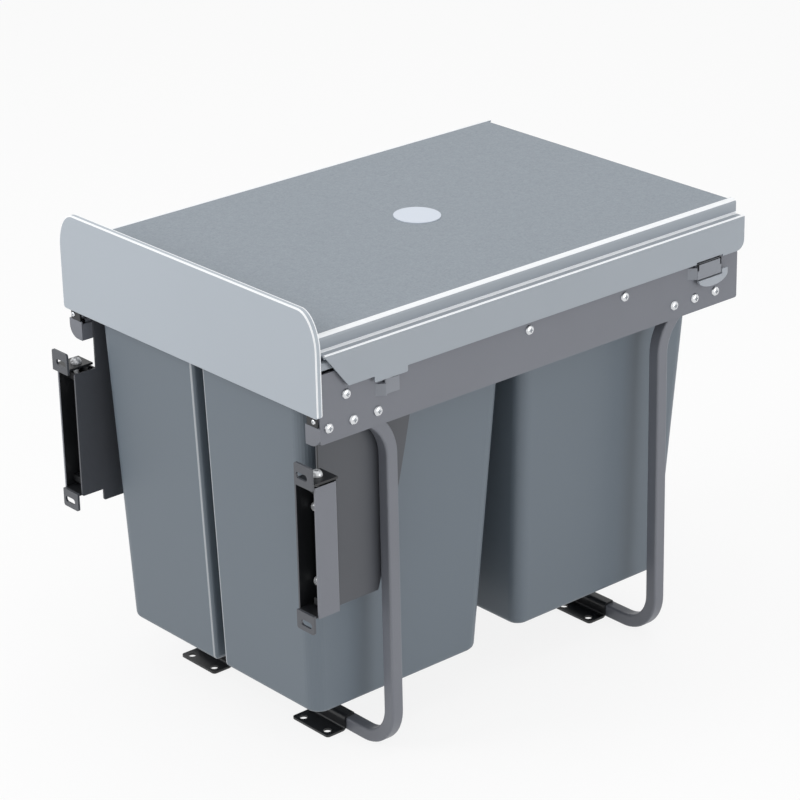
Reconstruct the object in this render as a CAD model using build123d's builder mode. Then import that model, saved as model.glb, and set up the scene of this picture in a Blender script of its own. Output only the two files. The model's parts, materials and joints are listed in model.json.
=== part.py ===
from build123d import *
import os

# Pull-out waste bin unit that stands on the floor of a base cabinet.
# X runs across the unit, Y from the door to the back, Z up. The origin is on the floor, in
# the middle of the footprint. Right-hand pieces are drawn and left-hand ones mirrored.

# Whole unit
unit_width = 342.0
unit_depth = 495.0
unit_height = 418.0
hole_clearance = 0.1
running_gap = 0.3
quarter_turn = 90
half_width = unit_width / 2
front_y = -unit_depth / 2
back_y = unit_depth / 2

# Front panel, a moulded cover with two drooping shoulders
panel_setback = 12.0
panel_thickness = 5.2
panel_skin = 2.0
panel_height = 88.0
panel_shoulder_width = 21.0
panel_shoulder_drop = 33.0
panel_corner_radius = 3.5
panel_edge_round = 1.2
panel_rim = 2.4
panel_rib = 2.0
panel_rib_count = 5
panel_front_y = front_y + panel_setback
panel_back_y = panel_front_y + panel_thickness
panel_skin_y = panel_front_y + panel_skin
panel_bottom_z = unit_height - panel_height

# Rail plates, the fixed sides of the unit
plate_thickness = 2.0
plate_inset = 4.5
plate_height = 59.2
plate_drop = 24.5
plate_front_gap = 0.6
plate_back_inset = 3.5
plate_corner_radius = 2.0
plate_outer_x = half_width - plate_inset
plate_inner_x = plate_outer_x - plate_thickness
plate_bottom_z = panel_bottom_z - plate_drop
plate_top_z = plate_bottom_z + plate_height
plate_front_y = panel_back_y + plate_front_gap
plate_back_y = back_y - plate_back_inset

# Screws through the rail plates
screw_diameter = 3.9
screw_head_diameter = 9.0
screw_head_height = 2.6
screw_head_round = 1.7
screw_reach = 3.2
lower_screw_height = 12.8
upper_screw_height = 36.8
lower_screw_pitch = 25.4
lower_screw_count = 3
front_screw_place = 8.5
back_screw_place = 27.8
upper_front_screw_place = 27.1
upper_middle_screw_place = 224.4
upper_back_screw_place = 138.8
collar_diameter = 5.9
collar_height = 1.5
lower_screw_z = plate_bottom_z + lower_screw_height
upper_screw_z = plate_bottom_z + upper_screw_height

# Bent tube legs
tube_width = 12.0
tube_wall = 1.2
tube_corner_radius = 2.0
tube_floor_radius = 34.0
tube_top_radius = 43.0
tube_top_height = 11.0
front_leg_place = 75.7
back_leg_place = 88.5
tube_end_inset = 3.5
tube_x = plate_inner_x - tube_width / 2
tube_top_z = plate_bottom_z + tube_top_height
front_tube_y = plate_front_y + front_leg_place
back_tube_y = plate_back_y - back_leg_place

# Feet under the tubes
foot_thickness = 2.0
foot_length = 48.0
foot_spacing = 157.0
foot_reach = 20.0
foot_overhang = 10.0
foot_bend_radius = 3.0
foot_hole_pitch = 32.0
foot_hole_diameter = 7.0
foot_hole_setback = 6.5
foot_corner_radius = 3.0

# Telescopic ball slides, measured inwards from the rail plate
slide_height = 35.0
slide_depth = 12.2
slide_wall = 1.2
slide_bend_radius = 1.0
slide_lip_radius = 0.8
slide_front_inset = 3.9
slide_back_inset = 19.8
slide_web_gap = 1.4
slide_outer_flange = 9.0
slide_outer_lip = 0.9
slide_middle_flange = 7.0
slide_inner_flange = 6.5
ball_diameter = 3.0
ball_gap = 0.15
cage_wall = 0.5
cage_length = 150.0
cage_flange = 6.2
cage_inner_flange = 5.6
cage_ball_count = 3
cage_ball_margin = 12.0
slide_outer_x = plate_inner_x
slide_inner_x = slide_outer_x - slide_depth
slide_front_y = plate_front_y + slide_front_inset
slide_back_y = plate_back_y - slide_back_inset
slide_length = slide_back_y - slide_front_y
race_height = ball_diameter + 2 * ball_gap
middle_height = slide_height - 2 * (slide_wall + race_height)
inner_height = middle_height - 2 * (slide_wall + race_height)

# Carriage frame between the slides
rail_wall = 1.5
rail_height = 43.0
rail_flange = 14.0
rail_bend_radius = 2.0
rail_seat_drop = 50.0
rail_back_inset = 13.5
bar_wall = 1.7
bar_height = 24.0
bar_bend_radius = 2.5
front_bar_flange = 5.0
back_bar_flange = 7.8
middle_bar_width = 16.4
middle_bar_place = 229.7
divider_width = 12.6
rail_seat_z = unit_height - rail_seat_drop
rail_outer_x = slide_inner_x
rail_inner_x = rail_outer_x - rail_wall
rail_edge_x = rail_outer_x - rail_flange
rail_front_y = panel_back_y
rail_back_y = back_y - rail_back_inset
middle_bar_front_y = rail_front_y + middle_bar_place
middle_bar_back_y = middle_bar_front_y + middle_bar_width

# Bins that hang in the carriage frame by their rims
bin_floor_z = 45.7
bin_wall = 2.2
bin_floor = 2.5
bin_corner_radius = 12.0
bin_base_round = 5.0
bin_seat_gap = 1.2
bin_side_taper = 9.1
front_bin_front_taper = 12.6
front_bin_back_taper = 30.6
back_bin_front_taper = -2.1
back_bin_back_taper = 30.8
rim_thickness = 2.5
rim_side_width = 11.0
rim_split_width = 6.6
rim_front_width = 5.0
rim_middle_width = 8.0
rim_back_width = 7.0
rim_top_z = rail_seat_z + rim_thickness

# Lid panel and the long profiles at its sides
lid_drop = 24.0
lid_front_gap = 4.3
lid_back_inset = 4.5
lid_seat_width = 8.0
lid_thickness = 4.5
lid_skin = 2.0
lid_rim = 2.4
lid_rib = 2.0
lid_rib_rows = 3
lid_rib_columns = 2
badge_length = 43.0
badge_width = 40.0
badge_thickness = 0.6
badge_place = 245.4
profile_wall = 1.5
profile_shelf = 7.8
profile_bend_radius = 1.6
shoulder_width = 5.9
shoulder_drop = 13.5
shoulder_radius = 4.0
lip_width = 2.8
lip_height = 1.3
hook_drop = 19.0
hook_leg = 7.5
hook_reach = 7.1
skirt_drop = 43.4
skirt_cut_run = 23.2
skirt_corner_radius = 9.0
tab_place = 50.0
tab_length = 34.6
tab_drop = 5.3
notch_place = 26.5
notch_length = 32.4
notch_rise = 1.7
lid_z = unit_height - lid_drop
lid_front_y = panel_back_y + lid_front_gap
lid_back_y = back_y - lid_back_inset
skirt_inner_x = half_width - profile_wall
shoulder_x = half_width - lip_width - profile_shelf
skirt_bottom_z = lid_z - skirt_drop
ledge_z = lid_z - shoulder_drop

# Clips that carry the lid on the rail plates
clip_front_length = 10.0
clip_back_length = 14.2
clip_split = 1.4
clip_height = 13.0
clip_step = 2.8
clip_depth = 6.0
clip_back_depth = 2.7
clip_round = 0.6
catch_block_length = 14.6
catch_block_height = 13.3
catch_block_depth = 4.0
catch_plate_length = 32.1
catch_plate_height = 15.0
catch_plate_depth = 5.4
catch_ear_length = 3.0
catch_ear_inset = 2.2
catch_ear_diameter = 4.0
catch_hub_diameter = 3.6
catch_hub_gap = 0.3
catch_pin_diameter = 2.0
catch_pin_drop = 12.0
catch_tab_length = 38.0
catch_tab_height = 8.5
catch_tab_top_gap = 0.5
catch_tab_thickness = 2.8
catch_tab_radius = 7.0
catch_tab_gap = 0.9
tab_front_y = lid_front_y + tab_place
tab_bottom_z = skirt_bottom_z - tab_drop
notch_front_y = back_y - notch_place - notch_length
notch_top_z = skirt_bottom_z + notch_rise
catch_top_z = notch_top_z - running_gap
catch_pin_z = catch_top_z - catch_pin_drop
catch_pin_x = plate_outer_x + catch_plate_depth + catch_hub_gap + catch_hub_diameter / 2

# Brackets that hold the front panel on the carriage
bracket_wall = 1.5
bracket_setback = 3.6
bracket_drop = 26.3
bracket_gap = 6.0
bracket_reach = 17.7
bracket_arm_length = 20.0
bracket_arm_height = 14.9
bracket_corner_radius = 12.0
bracket_bend_radius = 1.5
bracket_post_width = 12.7
bracket_post_inset = 2.0
bracket_post_height = 26.0
panel_screw_place = 12.0
panel_screw_diameter = 4.0
panel_screw_head = 7.0
panel_screw_height = 2.4
panel_boss_diameter = 9.0
bracket_front_y = panel_front_y + bracket_setback
bracket_bottom_z = panel_bottom_z - bracket_drop
bracket_top_z = panel_bottom_z - bracket_gap
bracket_post_x = rail_inner_x + bracket_post_inset + bracket_post_width / 2
panel_screw_z = panel_bottom_z + panel_screw_place

# Side plates that carry the door brackets
side_wall = 1.7
side_tail = 10.5
side_lap = 21.0
side_setback = 9.3
side_base_length = 60.0
side_middle_length = 86.7
side_top_length = 107.5
side_corner_radius = 1.5
side_front_y = panel_back_y + side_setback
side_top_z = rail_seat_z - rail_height + side_lap

# Door channels at the front of the side plates
channel_wall = 1.7
channel_width = 24.2
channel_setback = 4.0
channel_depth = 23.5
channel_height = 114.5
channel_drop = 54.0
channel_bend_radius = 2.5
channel_collar_diameter = 8.0
channel_collar_height = 1.7
nut_block_width = 14.4
nut_block_depth = 6.6
nut_block_height = 6.0
nut_block_inset = 5.0
channel_front_y = front_y + channel_setback
channel_back_y = channel_front_y + channel_depth
channel_top_z = panel_bottom_z - channel_drop
channel_bottom_z = channel_top_z - channel_height
side_bottom_z = channel_bottom_z - side_tail
channel_outer_x = rail_inner_x + channel_width

# Door plates that slide up and down in the channels
door_plate_wall = 2.0
door_plate_gap = 2.0
door_tab_width = 24.5
door_tab_overhang = 1.0
door_tab_height = 16.0
door_tab_round = 1.5
door_flange_length = 31.5
door_bend_radius = 2.2
door_web_width = 19.0
door_web_setback = 20.0
door_slot_length = 14.0
door_slot_width = 5.5
door_slot_height = 7.2
door_travel = 1.5
door_screw_diameter = 5.0
door_screw_head = 9.0
door_screw_height = 3.0
door_head_round = 1.2
door_screw_length = 17.5
door_screw_setback = 15.5
door_screw_inset = 12.4
lock_screw_diameter = 4.0
lock_screw_head = 8.0
lock_screw_height = 2.8
lock_screw_upper_drop = 21.0
lock_screw_lower_rise = 26.5
lock_screw_inset = 5.4
door_screw_x = rail_inner_x + door_screw_inset
door_screw_y = front_y + door_screw_setback
door_slot_x = door_screw_x
door_web_y = front_y + door_web_setback
lock_screw_x = rail_inner_x + lock_screw_inset
lock_screw_zs = (channel_top_z - lock_screw_upper_drop, channel_bottom_z + lock_screw_lower_rise)

os.makedirs("parts", exist_ok=True)

low_centered = (Align.CENTER, Align.CENTER, Align.MIN)
high_centered = (Align.CENTER, Align.CENTER, Align.MAX)


# Writes one finished piece under its own name
def save(piece, name):
    piece.label = name
    export_step(piece, "parts/" + name + ".step")
    print(name, len(piece.solids()), "solids", round(piece.volume), "mm3")


# Writes a right-hand piece and its mirrored left-hand twin
def save_pair(piece, name):
    save(piece, name + "_right")
    with BuildPart() as twin:
        mirror(piece, about=Plane.YZ)
    save(twin.part, name + "_left")


# Upright plane across the unit, seen from the door: sketch X is X and sketch Y is Z
def across(y):
    return Plane(origin=(0, y, 0), x_dir=(1, 0, 0), z_dir=(0, -1, 0))


# Upright plane along the unit, seen from its right: sketch X is Y and sketch Y is Z
def along(x):
    return Plane(origin=(x, 0, 0), x_dir=(0, 1, 0), z_dir=(1, 0, 0))


# Seats of pieces that stand out to the right, and out to the door
def right_seat(x, y, z):
    return Plane(origin=(x, y, z), x_dir=(0, 1, 0), z_dir=(1, 0, 0))


def door_seat(x, y, z):
    return Plane(origin=(x, y, z), x_dir=(1, 0, 0), z_dir=(0, -1, 0))


# Draws a bent sheet out of the line that runs through the middle of its wall
def bent_sheet(plane, points, bend_radius, wall, length):
    with BuildSketch(plane) as section:
        with BuildLine():
            FilletPolyline(*points, radius=bend_radius)
        trace(line_width=wall)
    extrude(section.sketch, amount=length)


# Rectangle between two corners of the sketch
def span(x0, y0, x1, y1, mode=Mode.ADD):
    with Locations(((x0 + x1) / 2, (y0 + y1) / 2)):
        Rectangle(abs(x1 - x0), abs(y1 - y0), mode=mode)


# Upright box between two corners
def block(x0, y0, z0, x1, y1, z1, mode=Mode.ADD):
    with Locations(((x0 + x1) / 2, (y0 + y1) / 2, z0)):
        Box(abs(x1 - x0), abs(y1 - y0), z1 - z0, align=low_centered, mode=mode)


def front_screw_ys():
    first = plate_front_y + front_screw_place
    return [first + i * lower_screw_pitch for i in range(lower_screw_count)]


def back_screw_ys():
    last = plate_back_y - back_screw_place
    return [last - i * lower_screw_pitch for i in range(lower_screw_count)]


def upper_screw_ys():
    return [plate_front_y + upper_front_screw_place, plate_front_y + upper_middle_screw_place,
            plate_back_y - upper_back_screw_place]


# The tube carries all lower screws but the one nearest to its leg
def tube_screw_ys(direction):
    return front_screw_ys()[:-1] if direction < 0 else back_screw_ys()[:-1]


# Square tube bent into a hoop: along the floor, up both sides, then out towards one end
def make_tube(name, leg_y, direction):
    end_y = plate_front_y + tube_end_inset if direction < 0 else plate_back_y - tube_end_inset
    floor_z = tube_width / 2
    with BuildPart() as tube:
        with BuildLine() as route:
            FilletPolyline(
                (tube_x, end_y, tube_top_z),
                (tube_x, leg_y, tube_top_z),
                (tube_x, leg_y, floor_z),
                (-tube_x, leg_y, floor_z),
                (-tube_x, leg_y, tube_top_z),
                (-tube_x, end_y, tube_top_z),
                radius=[tube_top_radius, tube_floor_radius, tube_floor_radius, tube_top_radius],
            )
        with BuildSketch(Plane(origin=route.line @ 0, x_dir=(1, 0, 0), z_dir=route.line % 0)):
            RectangleRounded(tube_width, tube_width, tube_corner_radius)
            bore = tube_width - 2 * tube_wall
            RectangleRounded(bore, bore, tube_corner_radius - tube_wall, mode=Mode.SUBTRACT)
        sweep(path=route.wire())
        for side in (1, -1):
            for y in tube_screw_ys(direction):
                with Locations(right_seat(side * plate_inner_x, y, lower_screw_z)):
                    Cylinder(screw_diameter / 2 + hole_clearance, 2 * tube_wall + running_gap,
                             mode=Mode.SUBTRACT)
    save(tube.part, name)


# Foot: a sheet that lies on the floor, rises along the tube and folds over its top
def make_feet():
    for name, leg_y in (("foot_front", front_tube_y), ("foot_rear", back_tube_y)):
        wall_y = leg_y - tube_width / 2 - foot_thickness / 2
        sheet_z = foot_thickness / 2
        leaf_z = tube_width + foot_thickness / 2
        foot_x = foot_spacing / 2
        with BuildPart() as foot:
            bent_sheet(
                along(foot_x - foot_length / 2),
                [(wall_y - foot_reach, sheet_z), (wall_y, sheet_z), (wall_y, leaf_z),
                 (wall_y + foot_overhang, leaf_z)],
                foot_bend_radius, foot_thickness, foot_length)
            toe = foot.faces().sort_by(Axis.Y)[0]
            fillet(toe.edges().filter_by(Axis.Z), radius=foot_corner_radius)
            for side in (-1, 1):
                hole_x = foot_x + side * foot_hole_pitch / 2
                with Locations((hole_x, wall_y - foot_reach + foot_hole_setback, sheet_z)):
                    Hole(foot_hole_diameter / 2)
        save_pair(foot.part, name)


# Rail plate: a flat side with the holes for its screws and a drawn collar by each leg
def make_rail_plate():
    with BuildPart() as rail_plate:
        with BuildSketch(along(plate_inner_x)) as outline:
            span(plate_front_y, plate_bottom_z, plate_back_y, plate_top_z)
            fillet(outline.vertices(), radius=plate_corner_radius)
        extrude(amount=plate_thickness)
        for y in (front_screw_ys()[-1], back_screw_ys()[-1]):
            with Locations(right_seat(plate_inner_x, y, lower_screw_z)):
                Cylinder(collar_diameter / 2, collar_height, align=high_centered)
        places = [(y, lower_screw_z) for y in front_screw_ys() + back_screw_ys()]
        places += [(y, upper_screw_z) for y in upper_screw_ys()]
        for y, z in places:
            with Locations(right_seat(plate_inner_x, y, z)):
                Hole(screw_diameter / 2 + hole_clearance)
    save_pair(rail_plate.part, "rail_plate")


def make_rail_screws():
    with BuildPart() as rail_screws:
        lower = [right_seat(plate_outer_x, y, lower_screw_z)
                 for y in front_screw_ys() + back_screw_ys()]
        upper = [right_seat(plate_outer_x, y, upper_screw_z) for y in upper_screw_ys()]
        with Locations(*lower, *upper):
            Cylinder(screw_head_diameter / 2, screw_head_height, align=low_centered)
        fillet(rail_screws.edges().group_by(Axis.X)[-1], radius=screw_head_round)
        with Locations(*lower):
            Cylinder(screw_diameter / 2, plate_thickness + tube_wall + screw_reach,
                     align=high_centered)
        with Locations(*upper):
            Cylinder(screw_diameter / 2, plate_thickness + slide_wall, align=high_centered)
    save_pair(rail_screws.part, "rail_screws")


# Line through the middle of a channel-shaped wall that is open towards one side
def channel_line(web_x, edge_x, height, wall):
    top_z = upper_screw_z + height / 2 - wall / 2
    bottom_z = upper_screw_z - height / 2 + wall / 2
    return [(edge_x, top_z), (web_x, top_z), (web_x, bottom_z), (edge_x, bottom_z)]


# Outer, middle and inner members of one slide, nested around the rows of balls
def make_slides():
    outer_web_x = slide_outer_x - slide_wall / 2
    middle_web_x = outer_web_x - slide_wall - slide_web_gap
    inner_web_x = slide_inner_x + slide_wall / 2

    with BuildPart() as slide_outer:
        edge_x = slide_outer_x - slide_outer_flange + slide_wall / 2
        line = channel_line(outer_web_x, edge_x, slide_height, slide_wall)
        lip = slide_wall / 2 + slide_outer_lip
        line = [(edge_x, line[0][1] - lip)] + line + [(edge_x, line[-1][1] + lip)]
        bent_sheet(across(slide_back_y), line, slide_lip_radius, slide_wall, slide_length)
        for y in upper_screw_ys():
            with Locations(right_seat(slide_outer_x - slide_wall / 2, y, upper_screw_z)):
                Cylinder(screw_diameter / 2 + hole_clearance, 2 * slide_wall,
                         mode=Mode.SUBTRACT)
    save_pair(slide_outer.part, "slide_outer")

    with BuildPart() as slide_middle:
        edge_x = middle_web_x - slide_middle_flange
        line = channel_line(middle_web_x, edge_x, middle_height, slide_wall)
        bent_sheet(across(slide_back_y), line, slide_bend_radius, slide_wall, slide_length)
    save_pair(slide_middle.part, "slide_middle")

    with BuildPart() as slide_inner:
        edge_x = inner_web_x + slide_inner_flange
        line = channel_line(inner_web_x, edge_x, inner_height, slide_wall)
        bent_sheet(across(slide_back_y), line, slide_bend_radius, slide_wall, slide_length)
    save_pair(slide_inner.part, "slide_inner")


# Ball cage: a thin channel that spaces two rows of balls above and below
def make_cage(name, web_x, flange, row_height):
    row_x = web_x - flange / 2
    middle_y = (slide_front_y + slide_back_y) / 2
    pitch = (cage_length - 2 * cage_ball_margin) / (cage_ball_count - 1)
    first_y = middle_y - cage_length / 2 + cage_ball_margin
    places = [(row_x, first_y + i * pitch, upper_screw_z + side * row_height / 2)
              for i in range(cage_ball_count) for side in (-1, 1)]
    with BuildPart() as cage:
        line = channel_line(web_x, web_x - flange, row_height + cage_wall, cage_wall)
        bent_sheet(across(middle_y + cage_length / 2), line, slide_bend_radius, cage_wall,
                   cage_length)
        with Locations(*places):
            Cylinder(ball_diameter / 2 + ball_gap, ball_diameter, mode=Mode.SUBTRACT)
            Sphere(ball_diameter / 2)
    save_pair(cage.part, name)


def make_cages():
    outer_web_x = slide_outer_x - slide_wall - slide_web_gap / 2
    inner_web_x = outer_web_x - slide_wall - slide_web_gap
    make_cage("ball_cage_outer", outer_web_x, cage_flange, slide_height - 2 * slide_wall
              - race_height)
    make_cage("ball_cage_inner", inner_web_x, cage_inner_flange, middle_height
              - 2 * slide_wall - race_height)


# Side rail of the carriage: an angle on the inner slide with a seat for the bin rims
def make_carriage_rails():
    web_x = rail_outer_x - rail_wall / 2
    seat_z = rail_seat_z - rail_wall / 2
    with BuildPart() as carriage_rail:
        bent_sheet(across(rail_back_y),
                   [(web_x, rail_seat_z - rail_height), (web_x, seat_z), (rail_edge_x, seat_z)],
                   rail_bend_radius, rail_wall, rail_back_y - rail_front_y)
    save_pair(carriage_rail.part, "carriage_rail")


# Cross bars between the side rails, and the divider between the two front bins
def make_carriage_bars():
    seat_z = rail_seat_z - bar_wall / 2
    low_z = rail_seat_z - bar_height

    with BuildPart() as front_bar:
        web_y = rail_front_y + bar_wall / 2
        bent_sheet(along(-rail_edge_x),
                   [(web_y, low_z), (web_y, seat_z), (rail_front_y + front_bar_flange, seat_z)],
                   bar_bend_radius, bar_wall, 2 * rail_edge_x)
    save(front_bar.part, "carriage_front_bar")

    with BuildPart() as middle_bar:
        web_front_y = middle_bar_front_y + bar_wall / 2
        web_back_y = middle_bar_back_y - bar_wall / 2
        bent_sheet(along(-rail_edge_x),
                   [(web_front_y, low_z), (web_front_y, seat_z), (web_back_y, seat_z),
                    (web_back_y, low_z)],
                   bar_bend_radius, bar_wall, 2 * rail_edge_x)
    save(middle_bar.part, "carriage_middle_bar")

    with BuildPart() as back_bar:
        web_y = rail_back_y - bar_wall / 2
        bent_sheet(along(-rail_edge_x),
                   [(web_y, low_z), (web_y, seat_z), (rail_back_y - back_bar_flange, seat_z)],
                   bar_bend_radius, bar_wall, 2 * rail_edge_x)
    save(back_bar.part, "carriage_rear_bar")

    with BuildPart() as divider:
        web_x = divider_width / 2 - bar_wall / 2
        front = rail_front_y + front_bar_flange
        bent_sheet(across(middle_bar_front_y),
                   [(-web_x, low_z), (-web_x, seat_z), (web_x, seat_z), (web_x, low_z)],
                   bar_bend_radius, bar_wall, middle_bar_front_y - front)
    save(divider.part, "carriage_divider")


# Bin: a tapering bucket with a flat rim, given by its mouth, its tapers and its rim widths
def make_bin(mouth, tapers, rims):
    x0, y0, x1, y1 = mouth
    left, front, right, back = tapers
    base = (x0 + left, y0 + front, x1 - right, y1 - back)
    rim = (x0 - rims[0], y0 - rims[1], x1 + rims[2], y1 + rims[3])
    inner_floor_z = bin_floor_z + bin_floor
    climb = (inner_floor_z - bin_floor_z) / (rim_top_z - bin_floor_z)
    inner_base = [b + (m - b) * climb for b, m in zip(base, mouth)]
    inner_radius = bin_corner_radius - bin_wall
    with BuildPart() as bucket:
        loft([rounded_sheet(base, bin_floor_z, bin_corner_radius, 0),
              rounded_sheet(mouth, rim_top_z, bin_corner_radius, 0)], ruled=True)
        fillet(bucket.faces().sort_by(Axis.Z)[0].edges(), radius=bin_base_round)
        extrude(rounded_sheet(rim, rail_seat_z, bin_corner_radius, 0), amount=rim_thickness)
        loft([rounded_sheet(inner_base, inner_floor_z, inner_radius, bin_wall),
              rounded_sheet(mouth, rim_top_z, inner_radius, bin_wall)],
             ruled=True, mode=Mode.SUBTRACT)
    return bucket.part


# Level sketch of a rounded rectangle drawn in from its corners by an inset
def rounded_sheet(corners, z, radius, inset):
    x0, y0, x1, y1 = corners
    with BuildSketch(Plane.XY.offset(z)) as level:
        with Locations(((x0 + x1) / 2, (y0 + y1) / 2)):
            RectangleRounded(x1 - x0 - 2 * inset, y1 - y0 - 2 * inset, radius)
    return level.sketch


def make_bins():
    outer_x = rail_edge_x - bin_seat_gap
    split_x = divider_width / 2 + bin_seat_gap
    front_bin = make_bin(
        (split_x, rail_front_y + front_bar_flange + bin_seat_gap,
         outer_x, middle_bar_front_y - bin_seat_gap),
        (0, front_bin_front_taper, bin_side_taper, front_bin_back_taper),
        (rim_split_width, rim_front_width, rim_side_width, rim_middle_width))
    save_pair(front_bin, "bin_front")
    back_bin = make_bin(
        (-outer_x, middle_bar_back_y + bin_seat_gap,
         outer_x, rail_back_y - back_bar_flange - bin_seat_gap),
        (bin_side_taper, back_bin_front_taper, bin_side_taper, back_bin_back_taper),
        (rim_side_width, rim_middle_width, rim_side_width, rim_back_width))
    save(back_bin, "bin_rear")


# Outline of the front panel, drawn in by an inset
def panel_outline(inset):
    side_x = half_width - inset
    bottom_z = panel_bottom_z + inset
    shoulder_z = unit_height - panel_shoulder_drop
    shoulder_x = half_width - panel_shoulder_width
    width = panel_shoulder_width - inset
    drop = panel_shoulder_drop - inset
    with BuildLine() as edge:
        Line((-side_x, bottom_z), (side_x, bottom_z))
        Line((side_x, bottom_z), (side_x, shoulder_z))
        EllipticalCenterArc((shoulder_x, shoulder_z), width, drop, arc_size=quarter_turn)
        Line((shoulder_x, shoulder_z + drop), (-shoulder_x, shoulder_z + drop))
        EllipticalCenterArc((-shoulder_x, shoulder_z), width, drop, quarter_turn,
                            arc_size=quarter_turn)
        Line((-side_x, shoulder_z), (-side_x, bottom_z))
    make_face(edge.line.edges())


# Front panel: a thin face with a rim all round, upright ribs and two screw bosses behind it
def make_front_panel():
    boss_depth = bracket_setback - panel_skin
    with BuildPart() as front_panel:
        with BuildSketch(across(panel_back_y)) as face:
            panel_outline(0)
            fillet(face.vertices().group_by(Axis.Y)[0], radius=panel_corner_radius)
        extrude(amount=panel_thickness)
        fillet(front_panel.faces().sort_by(Axis.Y)[0].edges(), radius=panel_edge_round)
        with BuildSketch(across(panel_back_y)):
            panel_outline(panel_rim)
        extrude(amount=panel_thickness - panel_skin, mode=Mode.SUBTRACT)
        rib_pitch = 2 * (half_width - panel_shoulder_width) / (panel_rib_count + 1)
        for i in range(panel_rib_count):
            rib_x = (i + 1) * rib_pitch - half_width + panel_shoulder_width
            block(rib_x - panel_rib / 2, panel_skin_y, panel_bottom_z + panel_rim,
                  rib_x + panel_rib / 2, panel_back_y, unit_height - panel_rim)
        for side in (1, -1):
            with Locations(door_seat(side * bracket_post_x, panel_skin_y, panel_screw_z)):
                Cylinder(panel_boss_diameter / 2, boss_depth, align=high_centered)
                Cylinder(panel_screw_diameter / 2 + hole_clearance, boss_depth,
                         align=high_centered, mode=Mode.SUBTRACT)
            notch = bracket_post_width / 2 + running_gap
            block(side * bracket_post_x - notch, panel_skin_y + boss_depth - running_gap,
                  panel_bottom_z, side * bracket_post_x + notch, panel_back_y,
                  panel_bottom_z + panel_rim, mode=Mode.SUBTRACT)
    save(front_panel.part, "front_panel")


# Bracket: a pad under the panel, an arm on the side plate and a post behind the panel
def make_panel_brackets():
    wall_y = bracket_front_y + bracket_wall / 2
    arm_x = rail_inner_x + bracket_wall / 2
    arm_top_z = bracket_bottom_z + bracket_arm_height
    with BuildPart() as bracket:
        bent_sheet(
            Plane.XY.offset(bracket_bottom_z),
            [(rail_inner_x + bracket_reach, wall_y), (arm_x, wall_y),
             (arm_x, wall_y + bracket_arm_length)],
            bracket_bend_radius, bracket_wall, bracket_top_z - bracket_bottom_z)
        outer_edges = bracket.edges().filter_by(Axis.Y).group_by(Axis.X)[-1]
        fillet(outer_edges.sort_by(Axis.Z)[0], radius=bracket_corner_radius)
        block(rail_inner_x, bracket_front_y + bracket_wall + bracket_bend_radius, arm_top_z,
              arm_x + bracket_wall, wall_y + bracket_arm_length, bracket_top_z,
              mode=Mode.SUBTRACT)
        block(bracket_post_x - bracket_post_width / 2, bracket_front_y, bracket_top_z,
              bracket_post_x + bracket_post_width / 2, bracket_front_y + bracket_wall,
              bracket_top_z + bracket_post_height)
        with Locations(door_seat(bracket_post_x, bracket_front_y, panel_screw_z)):
            Hole(panel_screw_diameter / 2 + hole_clearance)
    save_pair(bracket.part, "panel_bracket")

    seat_y = bracket_front_y + bracket_wall
    with BuildPart() as panel_screws:
        for side in (1, -1):
            with Locations(Plane(origin=(side * bracket_post_x, seat_y, panel_screw_z),
                                 x_dir=(-1, 0, 0), z_dir=(0, 1, 0))):
                Cylinder(panel_screw_head / 2, panel_screw_height, align=low_centered)
                Cylinder(panel_screw_diameter / 2, seat_y - panel_skin_y - running_gap,
                         align=high_centered)
    save(panel_screws.part, "panel_screws")


# Lid panel: a thin skin with a rim all round and a grid of ribs underneath
def make_lid_panel():
    edge_x = shoulder_x - shoulder_width
    bottom_z = lid_z - lid_thickness
    pocket_x = edge_x - lid_rim
    pocket_front_y = lid_front_y + lid_rim
    pocket_back_y = lid_back_y - lid_rim
    with BuildPart() as lid_panel:
        block(-edge_x, lid_front_y, bottom_z, edge_x, lid_back_y, lid_z)
        block(-pocket_x, pocket_front_y, bottom_z, pocket_x, pocket_back_y, lid_z - lid_skin,
              mode=Mode.SUBTRACT)
        row_pitch = (pocket_back_y - pocket_front_y) / (lid_rib_rows + 1)
        for i in range(lid_rib_rows):
            rib_y = pocket_front_y + (i + 1) * row_pitch
            block(-pocket_x, rib_y - lid_rib / 2, bottom_z, pocket_x, rib_y + lid_rib / 2,
                  lid_z - lid_skin)
        column_pitch = 2 * pocket_x / (lid_rib_columns + 1)
        for i in range(lid_rib_columns):
            rib_x = (i + 1) * column_pitch - pocket_x
            block(rib_x - lid_rib / 2, pocket_front_y, bottom_z, rib_x + lid_rib / 2,
                  pocket_back_y, lid_z - lid_skin)
    save(lid_panel.part, "lid_panel")

    with BuildPart() as badge:
        with BuildSketch(Plane(origin=(0, lid_front_y + badge_place, lid_z))):
            Ellipse(badge_length / 2, badge_width / 2)
        extrude(amount=badge_thickness)
    save(badge.part, "badge")


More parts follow.
